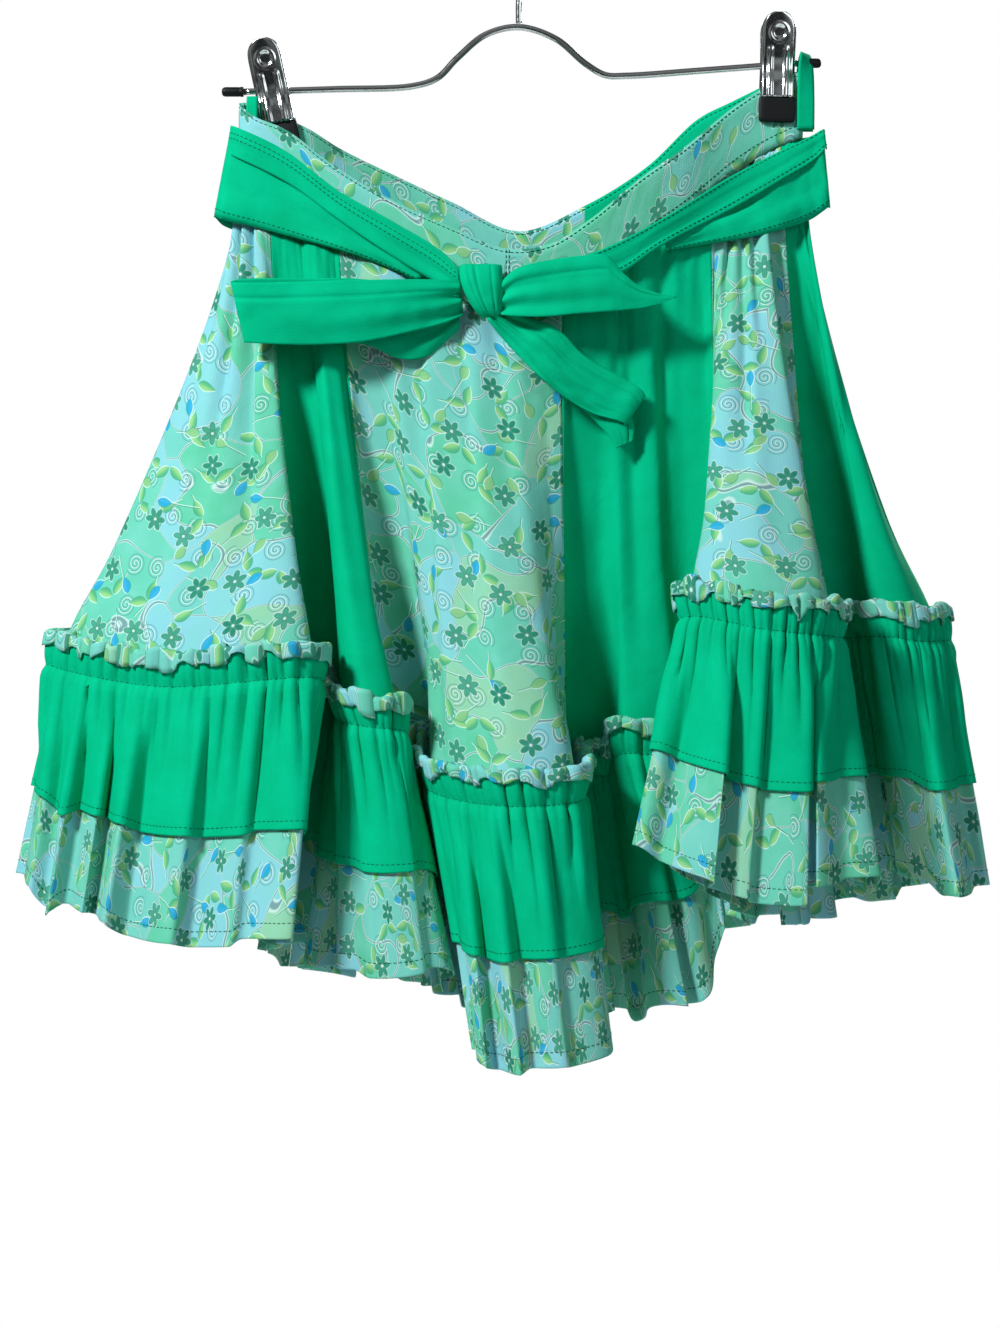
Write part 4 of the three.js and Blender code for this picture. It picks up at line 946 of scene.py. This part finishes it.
def printRuffleLine(column):
    # places and the stand-off from the ruffle's middle surface, from the hem up and over the frill
    layer, flap = -ruffleLook["layer"], ruffleLook["flap"]
    number = column["run"] / 12
    line = [(fall, layer) for fall in fallsTo(1, 150, ruffleLook["printStitch"])]
    taller = ruffleLook["topUneven"] * (lump(number, 0, 1.1, 31) + 0.5 * lump(number, 0, 0.45, 32)) - 0.6
    line += [(upTo(up), layer) for up in (1, 2.5, 5, 8, 11.5, 15, 18 + taller * 0.5)]
    centre, radius = (layer + flap) / 2, (flap - layer) / 2
    for turn in (150, 110, 70, 30):
        angle = math.radians(turn)
        line.append((upTo(19.8 + taller + radius * math.sin(angle)), centre + radius * math.cos(angle)))
    flop = 5 * ease(0.35, 0.6, lump(number, 0, 1.0, 35))
    lip = headerHeight - ruffleLook["turnDown"] - ruffleLook["lipUneven"] * lump(number, 40, 0.8, 33) - flop
    line += [(upTo(mix(19.2 + taller, lip, share)), flap) for share in (0, 0.35, 0.7, 1)]
    return line


def greenRuffleLine(column):
    layer = ruffleLook["layer"]
    line = [(fall, layer) for fall in fallsTo(greenFall, 90, ruffleLook["greenStitch"])]
    return line + [(upTo(up), layer) for up in (1, 2.5, 5, 8, 11.5, 15, 17.6)]


def stretchColumns(index):
    steps = columnsPerGore * ruffleLook["columns"]
    columns = [columnAt(index, s / ruffleLook["columns"]) for s in range(steps + 1)]
    return columns + [columnAt(index + 1, s / ruffleLook["columns"]) for s in range(1, steps + 1)]


def laidOn(base, normals, lines):
    # each line's places on the middle surface, moved off it along its normals
    grid = []
    for points, outs, line in zip(base, normals, lines):
        placed = []
        for at, off in line:
            k = min(max(bisect_left(baseRows, at), 1), len(baseRows) - 1)
            share = (at - baseRows[k - 1]) / (baseRows[k] - baseRows[k - 1])
            placed.append(points[k - 1].lerp(points[k], share) + outs[k - 1].lerp(outs[k], share).normalized() * off)
        grid.append(placed)
    return grid


for index in range(0, 12, 2):
    stretch = gores[index][0] + gores[index + 1][0]
    columns = stretchColumns(index)
    base = [[ruffleBase(column, at) for at in baseRows] for column in columns]
    facing = sum(gridNormal(base, i, 25).dot(columns[i]["hemOut"]) for i in range(0, len(base), 3))
    flip = 1 if facing > 0 else -1
    normals = [[gridNormal(base, i, k) * flip for k in range(len(baseRows))] for i in range(len(base))]
    printGrid = laidOn(base, normals, [printRuffleLine(column) for column in columns])
    greenGrid = laidOn(base, normals, [greenRuffleLine(column) for column in columns])
    addCloth("ruffle_cloth_print_" + stretch, "ruffle_print_" + stretch, printGrid, printCotton,
             ruffleLook["thick"], shift=(index * 219, 2100))
    addCloth("ruffle_cloth_green_" + stretch, "ruffle_green_" + stretch, greenGrid, greenCotton,
             ruffleLook["thick"], shift=(index * 219, 3000))
    # the gather row is dark thread laid along the gathering line as painted shade for the pinch there
    for kind, grid, row in (("print", printGrid, 3), ("green", greenGrid, 3), ("gather", greenGrid, len(greenGrid[0]) - 8)):
        outward = [gridNormal(grid, i, row) * -flip for i in range(len(grid))]
        lifted = [grid[i][row] + outward[i] * ruffleLook["thick"] / 2 for i in range(len(grid))]
        addStitches(f"stitches_{kind}_{stretch}", lifted, outward)
print("ruffles gathered")

# sash, laid on the outermost cloth under it
outerPoints = []
for index in range(12):
    for step in range(columnsPerGore + 1):
        column = columnAt(index, step)
        for down in (0, 0.08, 0.16, 0.24, 0.32, 0.4, 0.48):
            outerPoints.append(gorePoint(column, down, clothWall / 2))
        for drop in (0, bandHeight / 2, bandHeight):
            outerPoints.append(column["waist"] + column["waistOut"] * (clothWall / 2) - Vector((0, 0, drop)))


def reachAt(x, z, side, near=13):
    reach = 0.0
    for p in outerPoints:
        if abs(p.x - x) < near and abs(p.z - z) < near:
            reach = max(reach, p.y * side)
    return reach * side


def bandOn(rows, side, across=12, steps=8, relief=None):
    # rows: one edge's x and z, the other edge's x and z, how far off the skirt, or its own y
    lines = []
    for s in range(across + 1):
        share = s / across
        points = []
        for ax, az, bx, bz, off, y in rows:
            x, z = mix(ax, bx, share), mix(az, bz, share)
            points.append(Vector((x, y if y is not None else reachAt(x, z, side) + off * side, z)))
        lines.append(Line(points, False, 60))
    count = (len(rows) - 1) * steps
    grid = []
    for i in range(count + 1):
        line = []
        for s, edge in enumerate(lines):
            point = edge.at(i / count)
            if relief:
                point = point + Vector((0, side, 0)) * relief(i / count, s / across, point)
            line.append(point)
        grid.append(line)
    return grid


sashOff = 2.4
sashRows = {
    "left": [(-172, -145.5, -174, -163, 0, -7.5), (-171.2, -145.5, -173.2, -163, 0, -11.5),
             (-165, -149, -167, -166, sashOff + 1.8, None), (-139, -162, -136, -182, sashOff + 1.8, None),
             (-107, -186.5, -103, -206.5, sashOff + 1.8, None), (-73.5, -206, -71.5, -228, sashOff + 1.8, None),
             (-47, -222.5, -50, -241, sashOff + 2.2, None), (-34.8, -235, -36, -249, sashOff + 4.6, None)],
    "left_under": [(-172, -146, -182, -199, 0, -6.15), (-171.4, -146, -181.4, -199, 0, -9.6),
                   (-165, -152, -176, -202, 1.4, None), (-140, -166, -149, -209, 1.4, None),
                   (-108, -192, -118, -218, 1.4, None), (-76, -214, -82, -230, 1.5, None),
                   (-52, -234, -60, -240, 1.7, None)],
    "right": [(-10.3, -240, -10.3, -252, sashOff + 5.2, None), (12, -233.5, 15, -246.5, sashOff + 1.8, None),
              (50.3, -221, 59, -236, sashOff + 1.8, None), (85.4, -202.3, 82.4, -220, sashOff + 1.8, None),
              (124.3, -176.8, 125.5, -196, sashOff + 1.8, None), (152.8, -161, 155.8, -178, sashOff + 1.8, None),
              (175.2, -150.2, 178.2, -163, sashOff + 1.8, None), (181.4, -147, 183, -158, 0, -8.5),
              (182.2, -147, 184, -158, 0, -4)],
    "right_under": [(84, -214, 88, -221, 1.4, None), (108, -198, 114, -216, 1.4, None),
                    (128, -184, 134, -213, 1.4, None), (150, -168, 155, -208, 1.4, None),
                    (170, -156, 175, -200, 1.4, None), (180.8, -150, 185, -193, 0, -6.2),
                    (181.8, -150, 186, -193, 0, -3.2)],
    "back": [(182, -147, 186, -192, 0, -2.85), (181.4, -147, 185.4, -192, 0, 1),
             (174, -149, 178, -196, sashOff, None), (148, -152, 152, -204, sashOff, None),
             (108, -166, 112, -217, sashOff, None), (62, -192, 64, -244, sashOff, None),
             (0, -214, 0, -267, sashOff, None), (-60, -194, -62, -247, sashOff, None),
             (-104, -172, -108, -224, sashOff, None), (-142, -163, -148, -211, sashOff, None),
             (-166, -152, -177, -203, sashOff, None), (-171.4, -146, -181.4, -199, 0, -2),
             (-172, -146, -182, -199, 0, -5.85)],
}


def sashRelief(seed, foldAt, toKnot, slack):
    # a fold line along the sash, soft drag lines, and gathers toward the knot
    def relief(along, across, point):
        nearKnot = max(0, along if toKnot > 0 else 1 - along) ** 4 if toKnot else 0
        ledge = 0.8 * ease(foldAt - 0.04, foldAt + 0.04, across) * (1 - nearKnot)
        drag = lump(along * 200 - across * 34, across * 22, 24, seed) + 0.4 * lump(along * 260, across * 60, 11, seed + 3)
        gathers = 1.0 * nearKnot * math.sin(across * 14 + 2)
        return 0.4 - ledge + slack * drag + gathers
    return relief


# side of the skirt, seed, fold line, which end meets the knot, how slack it lies, node, stitch rows
sashSettings = {
    "left": (-1, 5, 0.5, 1, 0.5, "sash_left", (3, 5)), "left_under": (-1, 8, 0.96, 0, 1.7, None, (11,)),
    "right": (-1, 6, 0.4, -1, 0.5, "sash_right", (1, 10)), "right_under": (-1, 9, 0.96, 0, 1.6, None, (11,)),
    "back": (1, 7, 0.55, 0, 0.8, "sash_back", (1, 11)),
}
for name, (side, seed, foldPlace, toKnot, slack, node, stitchRows) in sashSettings.items():
    grid = bandOn(sashRows[name], side, relief=sashRelief(seed, foldPlace, toKnot, slack))
    addCloth("sash_cloth_" + name, node, grid, greenCotton, 0.8,
             shift=(seed * 90, 4000), spread=True)
    for row in stitchRows:
        normals = [gridNormal(grid, i, row) for i in range(len(grid))]
        normals = [n if n.y * side > 0 else -n for n in normals]
        lifted = [grid[i][row] + normals[i] * 0.42 for i in range(len(grid))]
        addStitches(f"stitches_sash_{name}_{row}", lifted, normals)
print("sash laid")

# bow
knot = {"x": -22.6, "z": -247.5, "wide": 12.6, "deep": 7.0, "high": 15.5}
knotY = reachAt(knot["x"], knot["z"], -1) - knot["deep"] - 3
loopFront, loopBack, tailY = knotY - 6, knotY - 0.5, knotY - 3


# the wrap of the knot from behind its top, over the front and in under it:
# its left and right edges, height above the middle, and how far behind the knot's middle
knotRows = [(-31, -13, 9.5, 4), (-33.6, -11.4, 15, 2), (-35, -10.6, 14.6, -3.4), (-34.8, -10.2, 8, -6.4),
            (-32.6, -10, 0, -7.6), (-28.5, -10.2, -8, -6.8), (-23.5, -11, -14, -4), (-20, -12.4, -15, 1),
            (-21, -14, -10, 4)]


def knotGrid():
    # the creases run up and down the wrap, and its edges turn in
    lines = []
    for i in range(29):
        across = -1 + i / 14
        points = []
        for left, right, rise, back in knotRows:
            x = mix(left, right, (across + 1) / 2)
            points.append(Vector((x, knotY + back + 4.5 * abs(across) ** 5, knot["z"] + rise)))
        lines.append(Line(points, False, 60))
    grid = []
    for i, edge in enumerate(lines):
        across = -1 + i / 14
        line = []
        for k in range(41):
            point = edge.at(k / 40)
            front = ease(0.1, 0.35, k / 40) * (1 - ease(0.75, 0.95, k / 40))
            creases = -1.1 * math.exp(-((across + 0.35 - 0.3 * k / 40) / 0.07) ** 2) \
                - 0.9 * math.exp(-((across - 0.5) / 0.05) ** 2) - 0.8 * math.exp(-((across + 0.75 - 0.5 * k / 40) / 0.06) ** 2) \
                + 0.6 * lump(point.x, point.z, 7, 9)
            line.append(point + Vector((0, -creases * front, 0)))
        grid.append(line)
    return grid


addCloth("bow_cloth_knot", "bow_knot", knotGrid(), greenCotton, 0.8,
         shift=(0, 4600), cut=(0.044, 0.075))

bowRows = {
    "loop_left": [(-34.4, -241.5, -33, -261, 0, loopFront + 3.4), (-46, -241.5, -44, -266, 0, loopFront + 0.6),
                  (-60, -241.5, -58, -270, 0, loopFront - 1), (-92, -242, -90, -277.5, 0, loopFront - 2),
                  (-130, -243, -126, -279.5, 0, loopFront - 1), (-165, -243.5, -157, -278.5, 0, loopFront),
                  (-168.6, -242.5, -160.6, -278, 0, (loopFront + loopBack) / 2), (-165, -240.8, -158, -277, 0, loopBack),
                  (-126, -240, -120, -276, 0, loopBack + 0.4), (-92, -240.5, -88, -279, 0, loopBack + 0.8),
                  (-74, -243, -72, -286, 0, loopBack + 1), (-58, -246, -56, -285.5, 0, loopBack + 1),
                  (-35.4, -250, -35.4, -268, 0, loopBack + 1)],
    "tail_right": [(-10.8, -243, -10.8, -262, 0, tailY), (-3, -236, -1, -263, 0, tailY - 2),
                   (12, -231.4, 13.5, -263.4, 0, tailY - 3), (37.7, -227.6, 37.7, -261.4, 0, tailY - 3),
                   (50.6, -227, 51.4, -260.4, 0, tailY - 2), (54, -230, 56, -260, 0, tailY - 1.6),
                   (61, -238, 63, -259, 0, tailY - 1), (69, -244.6, 71, -258, 0, tailY - 0.4),
                   (80, -249.2, 81, -255.6, 0, tailY), (91.5, -251.2, 91.5, -252, 0, tailY)],
    "loop_low": [(-12, -258.6, -19, -264, 0, knotY - 1), (6, -263, -9, -276, 6, None), (21, -268.5, 2, -288, 7, None),
                 (37, -284, 14, -300, 7, None), (50, -292, 27, -310, 7, None), (63, -299, 43, -318.5, 7, None),
                 (71, -304, 58, -323, 7.5, None), (74, -308, 62, -325, 6, None), (72.5, -309, 61, -326, 4.4, None)],
    "tail_low": [(40, -298, 26, -305, 3.8, None), (58, -312, 44, -322, 3.6, None),
                 (67, -324, 54, -333, 3.2, None), (66.5, -335, 57, -339, 2.8, None)],
}


def bowRelief(seed, turnsBack):
    # folds that start at the knot and spread as they leave it
    def relief(along, across, point):
        if turnsBack:
            fromKnot = abs(along - 0.5) * 2
            outward = 1 if along < 0.5 else -1
        else:
            fromKnot, outward = 1 - along, 1
        fans = 2.6 * fromKnot ** 2.2 * math.sin(across * 15 + seed) * outward
        soft = 2.0 * lump(point.x, point.z, 24, seed) + 0.8 * lump(point.x, point.z, 10, seed + 5)
        puff = 2.0 * math.sin(math.pi * across) * math.sin(math.pi * fromKnot) * outward
        seam = -0.9 * math.exp(-((across - 0.26) / 0.03) ** 2) + 0.5 * ease(0.26, 0.32, across)
        tilt = 7 * across * min(1, fromKnot * 1.4) if turnsBack else 0
        return 0.6 * fans + 0.6 * soft + puff + seam * (1 - fromKnot ** 3) - tilt
    return relief


bowSettings = {"loop_left": (11, True), "tail_right": (12, False), "loop_low": (13, False), "tail_low": (14, False)}
for name, (seed, turnsBack) in bowSettings.items():
    grid = bandOn(bowRows[name], -1, across=30, steps=8, relief=bowRelief(seed, turnsBack))
    addCloth("bow_cloth_" + name, "bow_" + name, grid, greenCotton, 0.8,
             shift=(seed * 70, 5000), spread=True)
print("bow tied")

# hanging loops
tapes = {
    "right": {"x": 171.6, "wide": 10.4, "twist": 0.95, "rows": [(-3.2, -146), (-4.2, -128), (-4.4, -110), (-3.2, -102.5), (0, -100),
                                                 (3.2, -102.5), (4.4, -110), (4.2, -128), (3.2, -146)]},
    "left": {"x": -159.4, "wide": 6.4, "twist": 0.0, "rows": [(-5.8, -160), (-5.8, -132), (-7.7, -127.5), (-9.6, -132), (-9.6, -160)]},
}
for name, tape in tapes.items():
    line = Line([Vector((tape["x"], y, z)) for y, z in tape["rows"]], False, 60)
    count = len(tape["rows"]) * 6
    grid = []
    for i in range(count + 1):
        point = line.at(i / count)
        turn = tape["twist"] * math.sin(math.pi * i / count) ** 2
        across = Vector((math.cos(turn), math.sin(turn), 0)) * tape["wide"]
        grid.append([point + across * (s / 6 - 0.5) + Vector((0, 0.25 * lump(point.z, s * 3, 9, 17), 0)) for s in range(7)])
    addCloth("tape_loop_" + name, "hanging_loop_" + name, grid, greenCotton, 1.0,
             shift=(0, 5600), cut=(line.total * mm, 0.0128))
print("tape loops made")


# hanger
def addTube(name, nodes, points, radius, material, sides=18, steps=160):
    line = Line(points, False, 200)
    verts, faces = [], []
    across = Vector((0, 1, 0))
    for i in range(steps + 1):
        time = i / steps
        centre = line.at(time)
        along = (line.at(min(1, time + 0.002)) - line.at(max(0, time - 0.002))).normalized()
        out = along.cross(across).normalized()
        for s in range(sides):
            angle = 2 * math.pi * s / sides
            verts.append(centre + (out * math.cos(angle) + across * math.sin(angle)) * radius)
    for i in range(steps):
        for s in range(sides):
            a, b = i * sides + s, i * sides + (s + 1) % sides
            faces.append([a, b, b + sides, a + sides])
    faces.append(list(range(sides))[::-1])
    faces.append(list(range(steps * sides, (steps + 1) * sides)))
    made = addObject(name, verts, faces, material)
    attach(made, "root")
    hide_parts(*nodes)
    return made


barRows = [(-165, -122.8), (-110, -121.2), (-64, -119.4), (-49, -114.5), (-37, -102.5), (-20, -88.5), (0, -84),
           (22, -91), (40, -106), (52, -112.8), (64, -113.2), (110, -110), (168, -105.6)]
addTube("hanger_wire", ["hanger_bar"], [Vector((x, 0, z)) for x, z in barRows], 2.0, chromeWire)
hookReach = 21
hookRows = [(0, -81.7), (0, -70), (1, -58), (9, -46), (18.5, -34), (hookReach, -19)]
for turn in range(30, 211, 30):
    angle = math.radians(turn)
    hookRows.append((hookReach * math.cos(angle), 2.0 - hookReach + hookReach * math.sin(angle)))
addTube("hanger_hook_wire", ["hanger_hook"], [Vector((x, 0, z)) for x, z in hookRows], 2.0, chromeWire)


def addLathe(name, node, profile, centre, material, sides=32):
    # turned about the X axis; profile is of (along, radius)
    verts = [centre + Vector((a, r * math.cos(2 * math.pi * s / sides), r * math.sin(2 * math.pi * s / sides)))
             for a, r in profile for s in range(sides)]
    faces = [[i * sides + s, i * sides + (s + 1) % sides, (i + 1) * sides + (s + 1) % sides, (i + 1) * sides + s]
             for i in range(len(profile) - 1) for s in range(sides)]
    faces.append(list(range(sides))[::-1])
    faces.append([(len(profile) - 1) * sides + s for s in range(sides)])
    made = addObject(name, verts, faces, material)
    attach(made, "root")
    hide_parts(node)
    return made


# the moulded tips push over the wire's ends: a lip, a plain barrel and a domed end
tipProfile = [(0, 2.2), (0, 2.9), (0.4, 3.0), (1.6, 3.0), (2.0, 2.75), (2.6, 2.85), (10.4, 2.85), (11.6, 2.7),
              (12.4, 2.2), (12.85, 1.4), (13, 0.4)]
for name, endX, endZ, outward in (("left", -165, -122.8, -1), ("right", 168, -105.6, 1)):
    profile = [(outward * (a + seamGap), r) for a, r in tipProfile]
    addLathe("rubber_tip_" + name, "hanger_tip_" + name, profile, Vector((endX, 0, endZ)), blackRubber)
print("hanger bent")

# clips
clipLook = {"jawHalf": 10.0, "dimpleZ": 18.5, "dimpleReach": 5.0, "dimpleDeep": 1.1, "ribX": 4.6, "ribWide": 1.35,
            "ribHigh": 0.9, "ribTop": 10.5, "flange": 1.6}
jawRows = [(30, 9.2, 3.6), (28.2, 8.7, 6.8), (24.5, 7.8, 9.2), (19, 6.6, 10), (11, 4.9, 10), (3, 2.9, 10),
           (-3, 2.9, 10), (-11, 4.6, 10), (-19.7, 5, 10)]


def addClipPart(name, node, verts, faces, place, material, slotName, thick=None):
    turn = math.radians(place["lean"])
    spun = [Vector((p.x * math.cos(turn) - p.z * math.sin(turn) + place["x"], p.y,
                    p.x * math.sin(turn) + p.z * math.cos(turn) + place["z"])) for p in verts]
    made = addObject(name, spun, faces, material)
    if thick:
        shell = made.modifiers.new("sheet", "SOLIDIFY")
        shell.thickness, shell.offset = thick * mm, 0
    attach(made, "root")
    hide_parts(node)
    return made


def jawShape(side):
    # pressed sheet: a crown, a thumb dimple, two ribs, and edges turned in
    line = [Vector((half, y, z)) for z, y, half in jawRows]
    path = Line(line, False, 80)
    verts = []
    rows, columns = 64, 40
    for r in range(rows + 1):
        knotPoint = path.at(r / rows)
        half, y, z = min(knotPoint.x, clipLook["jawHalf"]), knotPoint.y, knotPoint.z
        for c in range(columns + 1):
            across = -1 + 2 * c / columns
            x = across * half
            crown = 0.9 * (1 - across * across)
            reach = math.hypot(x, z - clipLook["dimpleZ"])
            dimple = -clipLook["dimpleDeep"] * (1 - ease(clipLook["dimpleReach"] - 2.2, clipLook["dimpleReach"], reach))
            lipRing = 0.45 * math.exp(-((reach - clipLook["dimpleReach"] - 0.2) / 0.7) ** 2)
            rib = clipLook["ribHigh"] * math.exp(-((abs(x) - clipLook["ribX"]) / clipLook["ribWide"]) ** 4) \
                * (1 - ease(clipLook["ribTop"] - 1.5, clipLook["ribTop"], z))
            turned = -clipLook["flange"] * ease(0.88, 1.0, abs(across)) * ease(0, 0.06, r / rows)
            verts.append(Vector((x, side * (y + crown + dimple + lipRing + rib + turned - 0.1), z)))
    stride = columns + 1
    faces = [[r * stride + c, (r + 1) * stride + c, (r + 1) * stride + c + 1, r * stride + c + 1]
             for r in range(rows) for c in range(columns)]
    return verts, faces


def padShape(side, grip):
    # a moulded boot with rounded corners and a soft rim round its top
    half, thick, top, high = 10.8, 3.6, -20, 14.6
    verts, faces = [], []
    sides, rows = 40, 14
    for r in range(rows + 1):
        share = r / rows
        z = top - high * share
        tuck = 0.55 * (1 - ease(0, 0.08, share)) + 0.75 * ease(0.9, 1, share)
        for s in range(sides):
            angle = 2 * math.pi * s / sides
            cosine, sine = math.cos(angle), math.sin(angle)
            flat = (abs(cosine) ** 8 + abs(sine) ** 8) ** (-1 / 8)
            groove = 0.25 * math.exp(-((share - 0.16) / 0.03) ** 2)
            verts.append(Vector(((half - tuck - groove) * cosine * flat,
                                 side * (grip + thick / 2) + (thick / 2 - tuck * 0.6 - groove) * sine * flat, z)))
    for r in range(rows):
        for s in range(sides):
            a, b = r * sides + s, r * sides + (s + 1) % sides
            faces.append([a, a + sides, b + sides, b])
    faces.append(list(range(sides)))
    faces.append([rows * sides + s for s in range(sides)][::-1])
    return verts, faces


def springShape():
    # a spring wound in even turns across the clip
    verts, faces = [], []
    turns, per, sides = 9, 20, 8
    steps = turns * per
    for i in range(steps + 1):
        angle = 2 * math.pi * i / per
        x = -7.2 + 14.4 * i / steps
        centre = Vector((x, 2.7 * math.cos(angle), 7.6 + 2.7 * math.sin(angle)))
        out = Vector((0, math.cos(angle), math.sin(angle)))
        for s in range(sides):
            spin = 2 * math.pi * s / sides
            verts.append(centre + out * (0.55 * math.cos(spin)) + Vector((0.55 * math.sin(spin), 0, 0)))
    for i in range(steps):
        for s in range(sides):
            a, b = i * sides + s, i * sides + (s + 1) % sides
            faces.append([a, b, b + sides, a + sides])
    faces.append(list(range(sides))[::-1])
    faces.append([steps * sides + s for s in range(sides)])
    return verts, faces


clips = {"left": {"x": -148, "z": -122.4, "lean": 11.5, "grip": 1.1}, "right": {"x": 155, "z": -107, "lean": -1.5, "grip": 2.3}}
for name, place in clips.items():
    for face, side in (("front", -1), ("back", 1)):
        addClipPart(f"clip_{name}_sheet_{face}", f"clip_{name}_jaw_{face}", *jawShape(side), place, chromeSheet,
                    "chrome_sheet", 0.8)
        addClipPart(f"clip_{name}_boot_{face}", f"clip_{name}_pad_{face}", *padShape(side, place["grip"]), place,
                    blackRubber, "black_rubber")
    addClipPart(f"clip_{name}_coil", f"clip_{name}_spring", *springShape(), place, chromeWire, "chrome_sheet")
print("clips closed")

print("cuts in mm:", cuts)
